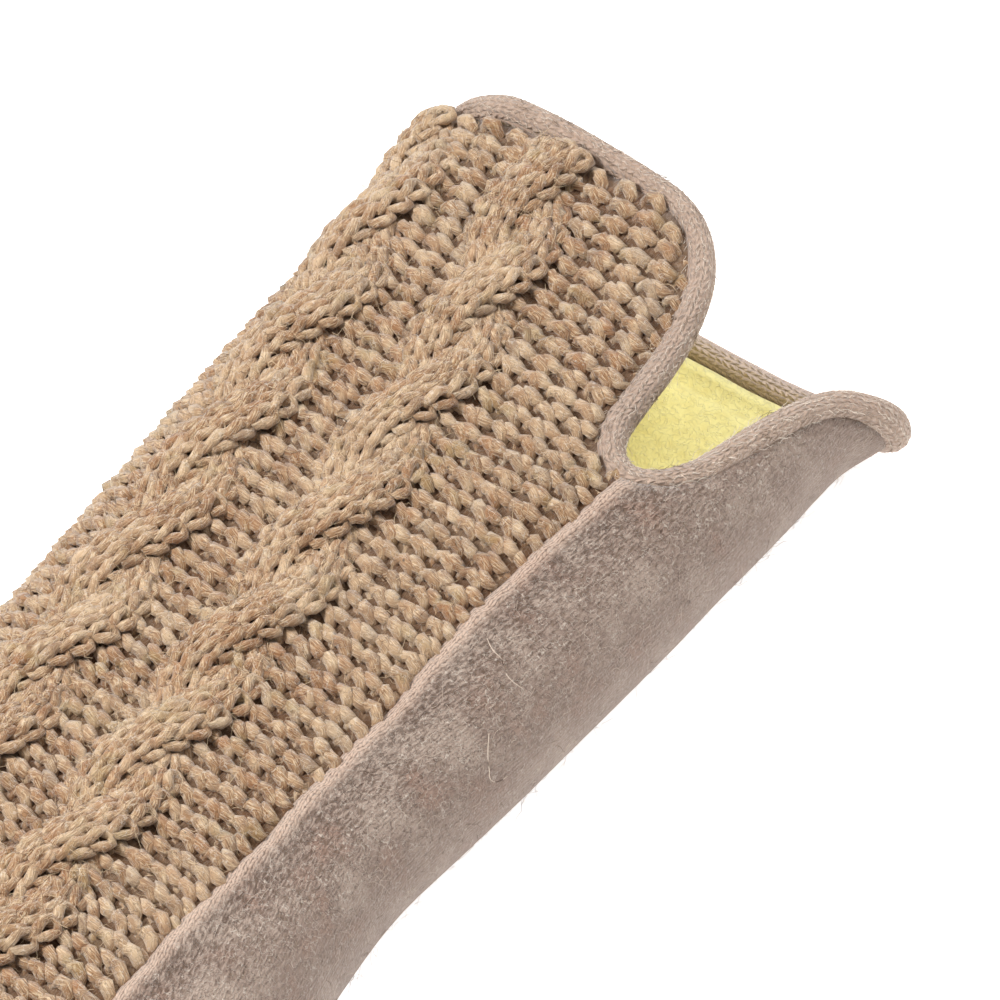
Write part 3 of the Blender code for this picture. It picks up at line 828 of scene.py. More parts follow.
def surface_hairs(outline, to_tube, count, rise, length, radius, rng):
    """Fibres with their roots spread at random over a panel."""
    low, high = outline.min(axis=0), outline.max(axis=0)
    spots = rng.uniform(low, high, size=(2 * count, 2))
    spots = spots[inside(outline, spots, 0.4)][:count]
    u = to_tube(spots[:, 0], spots[:, 1])
    t = spots[:, 1]
    ups = tube_normal(u, t)
    along = np.array((0.0, -1.0, 0.0)) + ups * ups[:, 1:2]
    along /= np.linalg.norm(along, axis=1, keepdims=True)
    aside = np.cross(ups, along)
    turn = rng.uniform(0.0, 2.0 * math.pi, len(u))[:, None]
    ways = along * np.cos(turn) + aside * np.sin(turn)
    return curled_hairs(on_tube(u, t, rise), ways, ups, length, radius, rng)


def yarn_hairs(lines, count, length, radius, rng):
    """Fibres that stand off the outer side of the yarn, most of them roughly along it."""
    points, ups, thick = (np.concatenate([line[part] for line in lines]) for part in range(3))
    along = np.concatenate([np.gradient(line[0], axis=0) for line in lines])
    along /= np.linalg.norm(along, axis=1, keepdims=True)
    chance = thick ** 3
    keep = rng.choice(len(points), count, p=chance / chance.sum())
    ups, along, thick = ups[keep], along[keep], thick[keep][:, None]
    aside = np.cross(ups, along)
    lean = rng.uniform(-1.2, 1.2, count)[:, None]
    out = ups * np.cos(lean) + aside * np.sin(lean)
    shift = along * rng.uniform(-0.4, 0.4, count)[:, None]
    turn = rng.normal(0.0, 0.8, count)[:, None]
    flip = rng.choice((-1.0, 1.0), count)[:, None]
    ways = flip * along * np.cos(turn) + np.cross(out, along) * np.sin(turn)
    roots = points[keep] + shift + 0.9 * thick * out
    return curled_hairs(roots, ways, out, length, radius, rng)


def long_hairs():
    """The palm's few long loose hairs, each a wavy curve through three places."""
    lines = []
    share = np.linspace(0.0, 1.0, LOOSE_POINTS)
    for first, middle, last in np.array(LOOSE_HAIRS):
        bend = 2.0 * middle - 0.5 * (first + last)
        place = np.outer((1.0 - share) ** 2, first) + np.outer(2.0 * share * (1.0 - share), bend)
        place = place + np.outer(share ** 2, last)
        u = place[:, 0] + 0.45 * np.sin(7.0 * share)
        t = place[:, 1] + 0.40 * np.sin(10.0 * share)
        rise = 0.15 + 0.9 * np.sin(math.pi * share) + 0.2 * np.sin(9.0 * share)
        thick = np.full(LOOSE_POINTS, 1.8 * HAIR_RADIUS)
        lines.append((on_tube(u, t, rise), tube_normal(u, t), thick))
    return lines


def from_palm_seam(flat):
    """Distance of the palm's points from its nearer side seam."""
    v, t = flat[:, 0], flat[:, 1]
    turn = half_round(t)
    near = v - (smooth_table(SEAMS, t, 1) - turn)
    far = (smooth_table(SEAMS, t, 2) + turn) - v
    return np.minimum(np.abs(near), np.abs(far)) + PANEL_LAP


def wavy_palm_place(v, t):
    """The palm's place round the tube; its seam edges wander as hand-sewn ones do."""
    from_seam = from_palm_seam(np.stack((v, t), axis=-1))
    wander = sum(size * np.sin(t / length + start) for size, length, start in SEAM_WAVES)
    near = bell(from_seam / SEAM_WAVE_REACH) * smooth_step((t - VENT_DEPTH) / 6.0)
    return palm_place(v, t) + wander * near


def palm_rise(flat):
    """The jersey's folded edge along the side seams, and soft creases over its face."""
    v, t = flat[:, 0], flat[:, 1]
    from_seam = from_palm_seam(flat)
    fold = FOLD["rise"] * bell((from_seam - FOLD["at"]) / FOLD["spread"])
    trough = TROUGH["rise"] * bell((from_seam - TROUGH["at"]) / TROUGH["spread"])
    tuck = TUCK["rise"] * (1.0 - smooth_step(from_seam / TUCK["reach"]))
    past_vent = smooth_step((t - VENT_DEPTH) / 4.0)
    rise = PALM_RISE + (fold + tuck + trough) * past_vent
    for crease in CREASES:
        away = (t - crease["at"] - crease["lean"] * v) / crease["width"]
        here = bell((v - crease["v"]) / crease["spread"])
        rise = rise - crease["depth"] * bell(away) * here
    return rise


def lining_rise(shell):
    """The fleece's outer face; troughs near the cuff show on its inner face."""
    def rise(flat):
        v, t = flat[:, 0], flat[:, 1]
        soft = 0.10 * np.sin(0.55 * v + 0.3 * t) * np.sin(0.45 * t - 0.2 * v)
        for row in FLEECE_TROUGHS:
            soft = soft + row["depth"] * bell((t - row["at"] - row["lean"] * v) / row["width"])
        return soft - shell - LINING_GAP
    return rise


def ground_rise(flat):
    return GROUND_SHARE * cable_rise(flat[:, 0], flat[:, 1]) - GROUND_DEPTH


def binding_roll():
    """The bound edge as one roll, its UV map, and lines on it where loose fibres start."""
    path = binding_path(ROLL_STEP, ROLL_STEP)[:-1]
    path[:, 1] = drawn_in(path[:, 0], path[:, 1])
    normal = tube_normal(path[:, 0], path[:, 1])
    line = tube_surface(path[:, 0], path[:, 1])
    way = np.roll(line, -1, axis=0) - np.roll(line, 1, axis=0)
    way /= np.linalg.norm(way, axis=1, keepdims=True)
    across = np.cross(normal, way)
    across /= np.linalg.norm(across, axis=1, keepdims=True)
    centre = line + normal * (BINDING_RISE + 0.05 - 0.5 * BINDING_DEPTH)
    lift = bell((path[:, 0] - ROLL_LIFT["u"]) / ROLL_LIFT["spread"])
    centre[:, 1] += ROLL_LIFT["out"] * lift
    centre[:, 2] += ROLL_LIFT["up"] * lift
    length = path_length(line)
    angle = 2.0 * math.pi * np.arange(ROLL_SIDES) / ROLL_SIDES
    plump = 1.04 + 0.035 * np.sin(length / 9.0) + 0.03 * np.sin(length / 4.3 + 1.0)
    plump += ROLL_CORNER * bell((path[:, 0] - PALM_CORNER["u"] - 5.0) / 9.0)
    wide = 0.5 * BINDING_WIDTH * plump[:, None] * np.cos(angle)[None, :]
    deep = 0.5 * BINDING_DEPTH * plump[:, None] * np.sin(angle)[None, :]
    points = centre[:, None, :] + across[:, None, :] * wide[..., None]
    points = points + normal[:, None, :] * deep[..., None]
    points[..., 2] = np.maximum(points[..., 2], 0.0)
    around = ROLL_GIRTH * np.abs(angle - math.pi) / (2.0 * math.pi)
    uv = np.stack(np.broadcast_arrays(around[None, :], length[:, None]), axis=-1)
    roots, ups, ways = [], [], []
    for side in range(0, ROLL_SIDES // 2 + 1):
        roots.append(points[:, side])
        ups.append(across * math.cos(angle[side]) + normal * math.sin(angle[side]))
        ways.append(way)
    hair_lines = (np.concatenate(roots), np.concatenate(ways), np.concatenate(ups))
    faces = ring_faces(len(path), ROLL_SIDES, closed=True).tolist()
    return points.reshape(-1, 3), faces, uv.reshape(-1, 2), hair_lines


def binding_underside():
    """How far each place on the binding's path lies on the glove's underside, from 0 to 1; there the
    binding is painted lighter, as painted light.
    """
    path = binding_path(ROLL_STEP, ROLL_STEP)[:-1]
    return smooth_step((np.abs(path[:, 0]) - UNDERSIDE["from"] + 10.0) / UNDERSIDE["spread"])


def seam_ridges():
    """The sewn ridges where the stalls are set on: round the knuckles and round the thumb."""
    turn = float(half_round(KNUCKLE_ALONG))
    u = np.linspace(-turn, turn, RIDGE_POINTS)
    t = np.full(RIDGE_POINTS, KNUCKLE_ALONG)
    for _ in range(MEETING_ROUNDS):
        t = knuckle_line(tube_surface(u, t)[:, 0])
    thick = np.full(RIDGE_POINTS, RIDGE_RADIUS)
    knuckles = (on_tube(u, t + 0.1, -0.15), tube_normal(u, t), thick)
    around = np.linspace(0.0, 2.0 * math.pi, RIDGE_POINTS)
    u = float(smooth_table(SEAMS, THUMB_ALONG, 2)) + (THUMB_HOLE_HALF_HEIGHT - 0.3) * np.sin(around)
    t = THUMB_ALONG + (THUMB_HOLE_HALF_LENGTH - 0.3) * np.cos(around)
    root = (on_tube(u, t, -0.1), tube_normal(u, t), thick)
    return [knuckles, root]


def stall(rings_outer, rings_inner, tip_outer, tip_inner):
    """A stall's wall from its rings, with a UV map in millimetres."""
    points, faces = closed_tube(rings_outer, rings_inner, tip_outer, tip_inner)
    count = len(rings_outer[0])
    rows = len(rings_outer)
    middle = np.array([ring.mean(axis=0) for ring in rings_outer])
    length = path_length(middle)
    around = np.abs(np.arange(count) - count / 2) * STALL_ROUND / count
    uv = np.stack(np.broadcast_arrays(around[None, :], length[:, None]), axis=-1).reshape(-1, 2)
    tips = np.full((2, 2), (0.0, length[-1] + 1.0))
    return points, [tuple(face) for face in faces], np.concatenate((uv, uv, tips))


def rounded_section(left, right, low, high, left_radius, right_radius):
    """A box with round corners, counted round from the lower right."""
    half = 0.5 * (high - low)
    limit = 0.5 * (right - left)
    corners = (
        (right, low, right_radius, -90.0),
        (right, high, right_radius, 0.0),
        (left, high, left_radius, 90.0),
        (left, low, left_radius, 180.0),
    )
    points = []
    for x, z, radius, start in corners:
        radius = max(CORNER_LEAST, min(radius, half - CORNER_CLEAR, limit - CORNER_CLEAR))
        x_centre = x - radius if x == right else x + radius
        z_centre = z - radius if z == high else z + radius
        for k in range(CORNER_POINTS):
            angle = math.radians(start + 90.0 * k / (CORNER_POINTS - 1))
            points.append((x_centre + radius * math.cos(angle), z_centre + radius * math.sin(angle)))
    return np.array(points)


def tube_stations(length, inset):
    """Distances along a stall and how much its section has closed there."""
    tip = length - inset
    round_length = TIP_ROUNDING - inset
    straight = np.linspace(0.0, length - TIP_ROUNDING, STALL_STATIONS)[:-1]
    rows = [(float(distance), 1.0) for distance in straight]
    for angle in np.linspace(0.0, 84.0, TIP_ANGLES):
        turn = math.radians(angle)
        rows.append((tip - round_length + round_length * math.sin(turn), math.cos(turn)))
    return rows, tip


def closed_tube(outer_rings, inner_rings, outer_tip, inner_tip):
    """A tube with a wall, open at its first rings and closed at its tips."""
    count = len(outer_rings[0])
    shift = len(outer_rings) * count
    quads = ring_faces(len(outer_rings), count)
    faces = quads.tolist() + (quads[:, ::-1] + shift).tolist()
    points = np.concatenate((*outer_rings, *inner_rings, [outer_tip], [inner_tip]))
    tips = len(points) - 2
    last_outer = shift - count
    last_inner = tips - count
    for k in range(count):
        after = (k + 1) % count
        faces.append([after, k, k + shift, after + shift])
        faces.append([last_outer + k, last_outer + after, tips])
        faces.append([last_inner + after, last_inner + k, tips + 1])
    return points, faces


def stall_section(half_width, height, left_radius, right_radius, inset, scale):
    """Across and up of a stall's section, drawn in by inset and closed to its middle by scale."""
    box = (-half_width + inset, half_width - inset, inset, height - inset)
    section = rounded_section(*box, left_radius - inset, right_radius - inset)
    middle = 0.5 * height
    return section[:, 0] * scale, middle + (section[:, 1] - middle) * scale


def finger(name, left, right, length, splay, tip_width, tip_height):
    """One finger stall, whose base fits its share of the knuckle line."""
    base_height = SECTIONS[-1][2]
    middle = 0.5 * (left + right)
    left_base_radius = 0.5 * base_height if name == "index" else STALL_CORNER
    right_base_radius = 0.5 * base_height if name == "little" else STALL_CORNER
    all_rings = []
    tips = []
    for inset in (0.0, STALL_WALL):
        stations, tip = tube_stations(length, inset)
        rings = []
        for distance, scale in stations:
            blend = float(smooth_step(distance / STALL_BLEND))
            narrow = float(smooth_step(distance / length))
            half_width = (1.0 - narrow) * 0.5 * (right - left) + narrow * 0.5 * tip_width
            height = (1.0 - narrow) * base_height + narrow * tip_height
            left_radius = (1.0 - blend) * left_base_radius + blend * 0.5 * height
            right_radius = (1.0 - blend) * right_base_radius + blend * 0.5 * height
            wide, high = stall_section(half_width, height, left_radius, right_radius, inset, scale)
            x = middle + splay * distance + wide
            start = (1.0 - blend) * knuckle_line(x) + blend * knuckle_line(middle)
            rings.append(np.column_stack((x, -start - distance, high)))
        all_rings.append(rings)
        end = -float(knuckle_line(middle)) - tip
        tips.append((middle + splay * tip, end, rings[-1][:, 2].mean()))
    return stall(all_rings[0], all_rings[1], tips[0], tips[1])


def thumb():
    """The thumb stall, set into the hole in the thumb-side seam."""
    forward = np.array((-math.sin(THUMB_ANGLE), -math.cos(THUMB_ANGLE), 0.0))
    sideways = np.array((math.cos(THUMB_ANGLE), -math.sin(THUMB_ANGLE), 0.0))
    seam = float(smooth_table(SEAMS, THUMB_ALONG, 2))
    root = tube_surface(seam, THUMB_ALONG)
    root[2] = 0.0
    corner = rounded_section(-1.0, 1.0, -1.0, 1.0, 1.0, 1.0)
    turn = np.arctan2(corner[:, 1], corner[:, 0])
    all_rings = []
    tips = []
    for inset in (0.0, STALL_WALL):
        half_round_way = THUMB_HOLE_HALF_HEIGHT - THUMB_HOLE_GAP - inset
        half_along = THUMB_HOLE_HALF_LENGTH - THUMB_HOLE_GAP - inset / math.sin(THUMB_ANGLE)
        u = seam + half_round_way * np.sin(turn)
        t = THUMB_ALONG + half_along * np.cos(turn)
        rings = [on_tube(u, t, -THUMB_ROOT_DEPTH)]
        rim = on_tube(u, t, THUMB_ROOT_RISE)
        stations, tip = tube_stations(THUMB_LENGTH, inset)
        for distance, scale in stations:
            blend = float(smooth_step((distance - THUMB_STRAIGHT) / THUMB_BLEND))
            full = 0.5 * THUMB_HEIGHT
            wide, high = stall_section(0.5 * THUMB_WIDTH, THUMB_HEIGHT, full, full, inset, scale)
            target = root + forward * distance + sideways * wide[:, None]
            target[:, 2] = high
            rings.append((1.0 - blend) * (rim + forward * distance) + blend * target)
        all_rings.append(rings)
        tips.append(root + forward * tip + np.array((0.0, 0.0, rings[-1][:, 2].mean())))
    return stall(all_rings[0], all_rings[1], tips[0], tips[1])


def new_material(name, roughness, sheen):
    """A material with its shader; gloss is low everywhere, and sheen stands for the nap."""
    material = bpy.data.materials.new(name)
    material.use_nodes = True
    tree = material.node_tree
    shader = tree.nodes["Principled BSDF"]
    shader.inputs["Roughness"].default_value = roughness
    shader.inputs["Specular IOR Level"].default_value = 0.12
    shader.inputs["Sheen Weight"].default_value = sheen
    shader.inputs["Sheen Roughness"].default_value = 0.5
    return material, tree, shader


def node(tree, kind, settings, inputs):
    """One node; an input is a value or another node's output, by socket name or number."""
    made = tree.nodes.new(kind)
    for name, value in settings.items():
        setattr(made, name, value)
    for name, value in inputs.items():
        if isinstance(value, bpy.types.NodeSocket):
            tree.links.new(value, made.inputs[name])
        else:
            made.inputs[name].default_value = value
    return made


def maths(tree, operation, first, second=0.0):
    return node(tree, "ShaderNodeMath", {"operation": operation}, {0: first, 1: second}).outputs[0]


def ramp(tree, value, low, high, most=1.0):
    """0 at low and most at high, with a smooth step between."""
    inputs = {"Value": value, "From Min": low, "From Max": high, "To Max": most}
    made = node(tree, "ShaderNodeMapRange", {"interpolation_type": "SMOOTHSTEP"}, inputs)
    return made.outputs["Result"]


def noise(tree, vector, scale, detail=2.0, stretch=(1.0, 1.0, 1.0)):
    """Noise with about scale features to a millimetre."""
    placed = node(tree, "ShaderNodeMapping", {}, {"Vector": vector, "Scale": stretch}).outputs[0]
    inputs = {"Vector": placed, "Scale": scale, "Detail": detail}
    return node(tree, "ShaderNodeTexNoise", {}, inputs).outputs["Fac"]


def fibres(tree, vector, scale, width, most):
    """Thin curled lines, where a noise crosses its middle value."""
    field = noise(tree, vector, scale, 1.0)
    away = maths(tree, "ABSOLUTE", maths(tree, "SUBTRACT", field, 0.5))
    return ramp(tree, away, width, 0.0, most)


def mix(tree, share, first, second):
    inputs = {0: share, 6: first, 7: second}
    return node(tree, "ShaderNodeMix", {"data_type": "RGBA"}, inputs).outputs[2]


def millimetres(tree, shift=0.0):
    """Object coordinates in millimetres."""
    place = node(tree, "ShaderNodeTexCoord", {}, {}).outputs["Object"]
    inputs = {0: place, 1: (1.0 / MM,) * 3, 2: (shift,) * 3}
    return node(tree, "ShaderNodeVectorMath", {"operation": "MULTIPLY_ADD"}, inputs).outputs[0]


def cloth_place(tree):
    return node(tree, "ShaderNodeUVMap", {"uv_map": "cloth_mm"}, {}).outputs[0]


def bump(tree, shader, height, depth, strength):
    """Relief with its depth in millimetres."""
    inputs = {"Strength": strength, "Distance": depth * MM, "Height": height}
    made = node(tree, "ShaderNodeBump", {}, inputs)
    tree.links.new(made.outputs[0], shader.inputs["Normal"])


def layers(tree, colour, rows):
    """Colours laid over one another: a field, where it starts, where it is full, most, the colour."""
    for field, low, high, most, top in rows:
        colour = mix(tree, ramp(tree, field, low, high, most), colour, rgb(top))
    return colour


def attribute(tree, name):
    return node(tree, "ShaderNodeAttribute", {"attribute_name": name}, {}).outputs["Fac"]


def wool_yarn(name, shade):
    """Tweed wool: fibres twist round the yarn, its hue wanders, and few flecks stand out.
    A shade below one paints it darker, as painted shade for the wool between the stitches.
    """
    material, tree, shader = new_material(name, 0.92, 0.35)
    along = cloth_place(tree)
    place = millimetres(tree)
    streak = noise(tree, along, 1.0, 4.0, (6.0, 0.80, 1.0))
    hue = noise(tree, along, 0.11, 1.0)
    tone = noise(tree, along, 0.30, 2.0, (0.5, 1.0, 1.0))
    olive = noise(tree, place, 0.23, 1.0)
    rows = (
        (streak, 0.48, 0.66, 0.85, WOOL_PALE),
        (streak, 0.46, 0.33, 0.75, WOOL_DARK),
        (hue, 0.48, 0.70, 0.34, WOOL_RUST),
        (hue, 0.44, 0.28, 0.35, WOOL_GREY),
        (olive, 0.58, 0.72, 0.30, WOOL_OLIVE),
        (noise(tree, place, 0.07, 2.0), 0.44, 0.66, 0.25, WOOL_PALE),
        (tone, 0.50, 0.66, 0.40, WOOL_PALE),
        (tone, 0.46, 0.32, 0.40, WOOL_DARK),
        (noise(tree, place, 0.62), 0.72, 0.78, 0.8, WOOL_COAL),
    )
    colour = layers(tree, rgb(WOOL_BASE), rows)
    dark_lines = fibres(tree, millimetres(tree, 31.0), 1.15, 0.026, 0.50)
    colour = mix(tree, dark_lines, colour, rgb(WOOL_DEEP))
    pale_lines = fibres(tree, millimetres(tree, 77.0), 0.95, 0.020, 0.45)
    colour = mix(tree, pale_lines, colour, rgb(HAIR_PALE))
    # Painted shade: a shade below one darkens the wool toward the painted shade colour.
    colour = mix(tree, 1.0 - shade, colour, rgb(WOOL_PAINTED_SHADE))
    tree.links.new(colour, shader.inputs["Base Color"])
    relief = maths(tree, "ADD", streak, maths(tree, "MULTIPLY", pale_lines, 0.35))
    bump(tree, shader, relief, 0.28, 0.9)
    return material


def stitch_height(tree, place, wale, course):
    """Plain stitches: each wale has two legs that slant to a point in every course."""
    parts = node(tree, "ShaderNodeSeparateXYZ", {}, {0: place})
    column = maths(tree, "PINGPONG", maths(tree, "DIVIDE", parts.outputs[0], wale), 0.5)
    slant = maths(tree, "MULTIPLY", column, 1.5)
    row = maths(tree, "ADD", maths(tree, "DIVIDE", parts.outputs[1], course), slant)
    leg = maths(tree, "SINE", maths(tree, "MULTIPLY", row, 2.0 * math.pi))
    groove = maths(tree, "SINE", maths(tree, "MULTIPLY", column, 2.0 * math.pi))
    full = maths(tree, "ADD", maths(tree, "MULTIPLY", leg, 0.35), 0.65)
    return maths(tree, "MULTIPLY", full, groove)


def knit_jersey(name, wale, course, clear, depth, pale=0.0, seamed=False):
    """Fine wool jersey: plain stitches, as clear as stated, under a curly brushed nap."""
    material, tree, shader = new_material(name, 0.95, 0.25)
    along = cloth_place(tree)
    place = millimetres(tree)
    wander = node(tree, "ShaderNodeTexNoise", {}, {"Vector": place, "Scale": 0.8}).outputs["Color"]
    inputs = {0: wander, 1: (0.6, 0.6, 0.0), 2: along}
    uneven = node(tree, "ShaderNodeVectorMath", {"operation": "MULTIPLY_ADD"}, inputs).outputs[0]
    height = stitch_height(tree, uneven, wale, course)
    haze = noise(tree, place, 0.13, 3.0)
    mottle = noise(tree, uneven, 1.5, 4.0, (1.5, 0.55, 1.0))
    pits = noise(tree, uneven, 1.0, 3.0, (1.9, 0.8, 1.0))
    rows = (
        (mottle, 0.48, 0.62, 0.45, JERSEY_PALE),
        (mottle, 0.47, 0.35, 0.60, JERSEY_DARK),
        (haze, 0.46, 0.64, 0.55, JERSEY_PALE),
        (haze, 0.46, 0.32, 0.50, JERSEY_PINK),
        # Painted shade: the grooves between the stitches are painted darker, more so the clearer the
        # stitches.
        (height, 0.45, -0.1, clear, JERSEY_DARK),
        (pits, 0.46, 0.36, min(1.2 * clear + 0.1, 0.85), JERSEY_DEEP),
    )
    colour = layers(tree, rgb(JERSEY_BASE), rows)
    dark_lines = fibres(tree, millimetres(tree, 13.0), 1.25, 0.034, 0.70)
    colour = mix(tree, dark_lines, colour, rgb(JERSEY_DEEP))
    pale_lines = fibres(tree, millimetres(tree, 59.0), 1.1, 0.024, 0.45)
    colour = mix(tree, pale_lines, colour, rgb(HAIR_PALE))
    if pale > 0.0:
        colour = mix(tree, pale, colour, rgb(BINDING_PALE))
        # Painted light: the binding is painted lighter on the glove's underside.
        under = maths(tree, "MULTIPLY", attribute(tree, "underside"), 0.75)
        colour = mix(tree, under, colour, rgb(BINDING_PAINTED_LIGHT))
    if seamed:
        # Near the seam the palm is painted: painted shadow in the hollows of the mottle within 12 mm, a
        # painted highlight on the stitch legs of the folded rim, and a lighter tone from 9 to 20 mm out.
        away = attribute(tree, "from_seam")
        hollow = ramp(tree, mottle, 0.54, 0.42, 0.5)
        shadow = maths(tree, "MULTIPLY", ramp(tree, away, 12.0, 4.0), hollow)
        colour = mix(tree, shadow, colour, rgb(JERSEY_DEEP))
        legs = ramp(tree, height, -0.1, 0.6, 0.75)
        rim = maths(tree, "MULTIPLY", ramp(tree, away, 3.4, 1.6), legs)
        colour = mix(tree, rim, colour, rgb(BINDING_PALE))
        colour = layers(tree, colour, ((away, 9.0, 20.0, 0.45, JERSEY_SOFT),))
    tree.links.new(colour, shader.inputs["Base Color"])
    nap = maths(tree, "MULTIPLY", mottle, 0.8)
    nap = maths(tree, "ADD", maths(tree, "MULTIPLY", pale_lines, 0.5), nap)
    relief = maths(tree, "ADD", maths(tree, "MULTIPLY", height, clear), nap)
    bump(tree, shader, relief, depth, 0.9)
    return material


def brushed_fleece(name):
    """Yellow fleece with a short soft pile, its hollows painted a deeper yellow as painted shade."""
    material, tree, shader = new_material(name, 0.95, 0.35)
    place = millimetres(tree)
    tuft = noise(tree, place, 0.55, 3.0)
    colour = layers(tree, rgb(FLEECE_BASE), ((tuft, 0.58, 0.34, 0.22, FLEECE_PAINTED_SHADE),))
    lines = fibres(tree, place, 1.3, 0.030, 0.35)
    colour = mix(tree, lines, colour, rgb(FLEECE_PALE))
    tree.links.new(colour, shader.inputs["Base Color"])
    bump(tree, shader, maths(tree, "ADD", tuft, lines), 0.5, 0.6)
    return material


def loose_hair(name, pale, dark):
    """Loose fibres, some paler and some darker than the cloth that they stand out of."""
    material, tree, shader = new_material(name, 0.7, 0.0)
    choice = ramp(tree, noise(tree, millimetres(tree), 0.35, 1.0), 0.40, 0.46)
    colour = mix(tree, choice, rgb(dark), rgb(pale))
    tree.links.new(colour, shader.inputs["Base Color"])
    return material


def build_back(side, cloth, rng):
    """The cable-knit back: yarn on a ground cloth."""
    outline, to_tube = panel_outline("back")
    shell = sheet_shell(outline, to_tube, GROUND_STEP, ground_rise, GROUND_WALL)
    ground = mesh_piece(side, "back_ground", *shell, cloth["ground"], "cable_knit")
    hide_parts(side + "_back")
    rows = purl_courses(outline, rng)
    knit = sweep(rows, PURL_SIDES, YARN_TWIST)
    purl = mesh_piece(side, "purl_knit", *knit, cloth["yarn"], "cable_knit")
    lines = []
    for cable in CABLES:
        for strand in (0, 1):
            lines += strand_courses(outline, cable, strand, rng)
    knit = sweep(lines, STRAND_SIDES, YARN_TWIST)
    cables = mesh_piece(side, "cables", *knit, cloth["yarn"], "cable_knit")
    hairs = yarn_hairs(rows, PURL_HAIRS, PURL_HAIR_LENGTH, HAIR_RADIUS, rng)
    hairs += yarn_hairs(lines, STRAND_HAIRS, STRAND_HAIR_LENGTH, HAIR_RADIUS, rng)
    hairs += surface_hairs(outline, to_tube, GROUND_HAIRS, -0.3, GROUND_HAIR_LENGTH, HAIR_RADIUS, rng)
    fuzz = mesh_piece(side, "back_fuzz", *sweep(hairs, HAIR_SIDES), cloth["wool_hair"], "cable_knit")


def point_values(piece, name, values):
    """A number at each of a piece's points, for its material."""
    made = piece.data.attributes.new(name, "FLOAT", "POINT")
    made.data.foreach_set("value", values.astype(np.float32))


def build_palm(side, cloth, rng):
    """The brushed palm, the bound edge and the ridges where the stalls are sewn on."""
    outline, to_tube = panel_outline("palm")
    shell = sheet_shell(outline, wavy_palm_place, SHELL_STEP, palm_rise, PALM_WALL)
    palm = mesh_piece(side, "palm_jersey", *shell, cloth["palm"], "jersey")
    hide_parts(side + "_palm")
    point_values(palm, "from_seam", from_palm_seam(shell[2]))
    lines = surface_hairs(outline, to_tube, PALM_HAIRS, 0.12, PALM_HAIR_LENGTH, NAP_RADIUS, rng)
    lines += long_hairs()
    nap = mesh_piece(side, "palm_nap", *sweep(lines, HAIR_SIDES), cloth["jersey_hair"], "jersey")
    points, faces, uv, starts = binding_roll()
    roll = mesh_piece(side, "bound_edge", points, faces, uv, cloth["binding"], "jersey")
    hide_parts(side + "_binding")
    point_values(roll, "underside", np.repeat(binding_underside(), ROLL_SIDES))
    keep = rng.choice(len(starts[0]), EDGE_HAIRS, replace=False)
    lines = curled_hairs(*[part[keep] for part in starts], EDGE_HAIR_LENGTH, HAIR_RADIUS, rng)
    edge = mesh_piece(side, "edge_nap", *sweep(lines, HAIR_SIDES), cloth["edge_hair"], "jersey")
    ridge = sweep(seam_ridges(), RIDGE_SIDES)
    ridges = mesh_piece(side, "stall_seams", *ridge, cloth["binding"], "jersey")


def build_linings(side, cloth):
    for panel, wall in (("back", BACK_WALL), ("palm", JERSEY_WALL)):
        outline, to_tube = panel_outline(panel, LINING_LENGTH)
        outline[:, 1] += FLEECE_BACK * smooth_step(1.0 - outline[:, 1] / FLEECE_REACH)
        shell = sheet_shell(outline, to_tube, LINING_STEP, lining_rise(wall), LINING_WALL)
        piece = mesh_piece(side, "fleece_" + panel, *shell, cloth["fleece"], "fleece")
        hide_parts(side + "_lining_" + panel)


def build_stalls(side, cloth):
    stalls = [(row[0] + "_finger", finger(*row), row[3]) for row in FINGERS]
    stalls.append(("thumb", thumb(), THUMB_LENGTH))
    for name, shape, length in stalls:
        piece = mesh_piece(side, name + "_jersey", *shape, cloth["stalls"], "jersey")
        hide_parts(side + "_" + name)


def view_way(azimuth, elevation):
    """Unit vector from the object toward a viewer."""
    a, e = math.radians(azimuth), math.radians(elevation)
    return Vector((math.sin(a) * math.cos(e), -math.cos(a) * math.cos(e), math.sin(e)))


def aimed(name, data, azimuth, elevation, distance):
    """A light or camera in the scene, turned to the view's target."""
    way = view_way(azimuth, elevation)
    made = bpy.data.objects.new(name, data)
    made.location = Vector(VIEW_TARGET) + way * distance
    made.rotation_mode = "QUATERNION"
    made.rotation_quaternion = (-way).to_track_quat("-Z", "Y")
    bpy.context.scene.collection.objects.link(made)
    return made


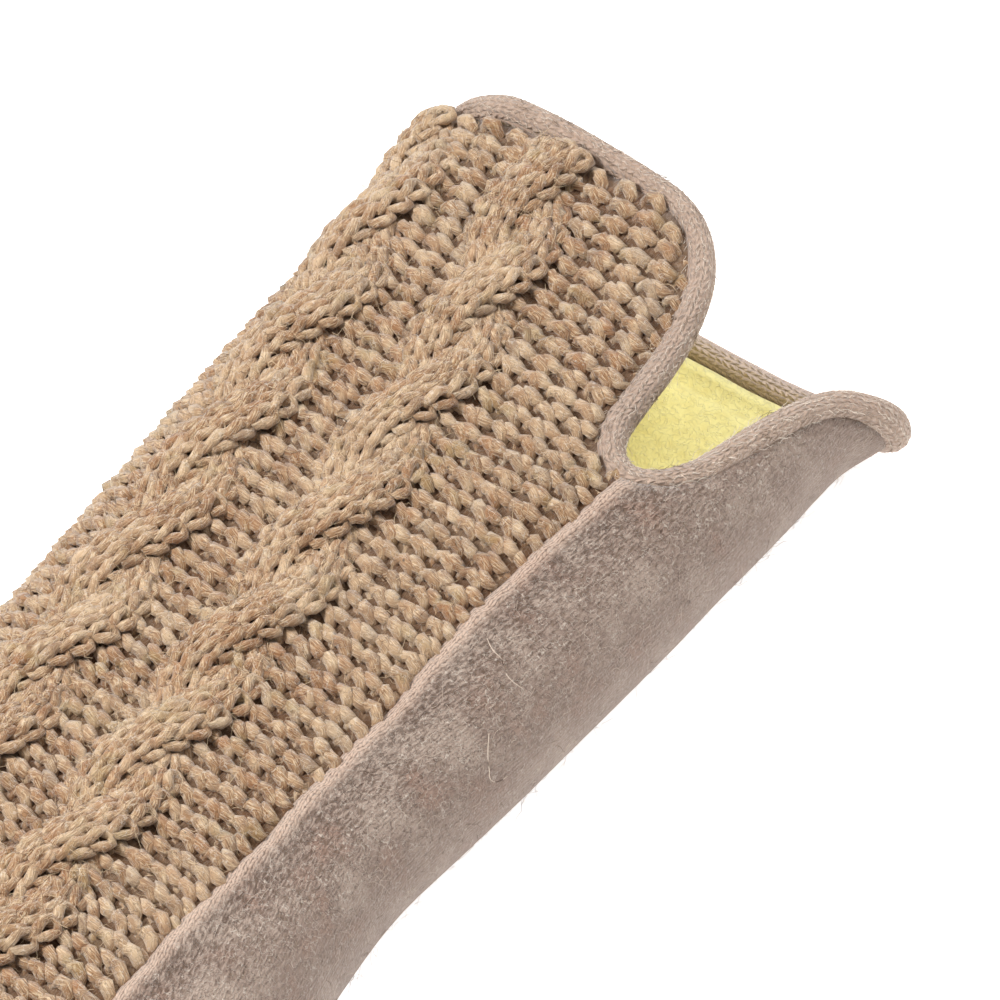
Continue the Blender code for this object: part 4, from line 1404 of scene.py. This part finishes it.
def studio():
    """Plain pale floor, white surroundings, soft lights and the camera."""
    white, tree, shader = new_material("pale_floor", 0.9, 0.0)
    speck = noise(tree, millimetres(tree), 0.02)
    tree.links.new(mix(tree, speck, rgb("FFFFFF"), rgb("FBFBFB")), shader.inputs["Base Color"])
    shader.inputs["Emission Color"].default_value = rgb("FFFFFF")
    shader.inputs["Emission Strength"].default_value = FLOOR_GLOW
    mesh = bpy.data.meshes.new("floor")
    corners = [(-1.0, -1.0), (1.0, -1.0), (1.0, 1.0), (-1.0, 1.0)]
    places = [(x * FLOOR_REACH, y * FLOOR_REACH, -FLOOR_DROP * MM) for x, y in corners]
    mesh.from_pydata(places, [], [(0, 1, 2, 3)])
    mesh.materials.append(white)
    floor = bpy.data.objects.new("floor", mesh)
    bpy.context.scene.collection.objects.link(floor)

    surroundings = bpy.data.worlds.new("white_surroundings")
    surroundings.use_nodes = True
    background = surroundings.node_tree.nodes["Background"]
    background.inputs["Color"].default_value = rgb("FFFFFF")
    background.inputs["Strength"].default_value = WORLD_STRENGTH
    bpy.context.scene.world = surroundings
    bpy.context.scene.view_settings.view_transform = "Standard"
    for name, azimuth, elevation, distance, size, power in LIGHTS:
        data = bpy.data.lights.new(name, "AREA")
        data.shape = "DISK"
        data.size = size
        data.energy = power
        aimed(name, data, azimuth, elevation, distance)

    data = bpy.data.cameras.new("camera")
    data.lens = LENS
    data.sensor_width = SENSOR
    data.clip_start = 0.1
    data.clip_end = 50.0
    distance = FRAME_WIDTH * LENS / SENSOR
    bpy.context.scene.camera = aimed("camera", data, VIEW_AZIMUTH, VIEW_ELEVATION, distance)


cloth = {
    "yarn": wool_yarn("heather_wool_yarn", 1.0),
    # The wool between the stitches is painted darker, as painted shade.
    "ground": wool_yarn("wool_between_stitches_painted_shade", 0.30),
    "palm": knit_jersey("brushed_wool_jersey", 0.95, 0.80, 0.30, 0.30, seamed=True),
    "stalls": knit_jersey("wool_jersey_stalls", 0.95, 0.80, 0.30, 0.30),
    "binding": knit_jersey("jersey_binding", 1.45, 1.20, 0.90, 0.45, pale=0.52),
    "fleece": brushed_fleece("yellow_fleece"),
    "wool_hair": loose_hair("loose_wool", WOOL_PALE, WOOL_DARK),
    "jersey_hair": loose_hair("loose_jersey_fibre", JERSEY_HAIR, JERSEY_DEEP),
    "edge_hair": loose_hair("loose_edge_fibre", HAIR_PALE, JERSEY_DARK),
}
studio()
for side in SIDES:
    rng = np.random.default_rng(SEED)
    build_back(side, cloth, rng)
    build_palm(side, cloth, rng)
    build_linings(side, cloth)
    build_stalls(side, cloth)
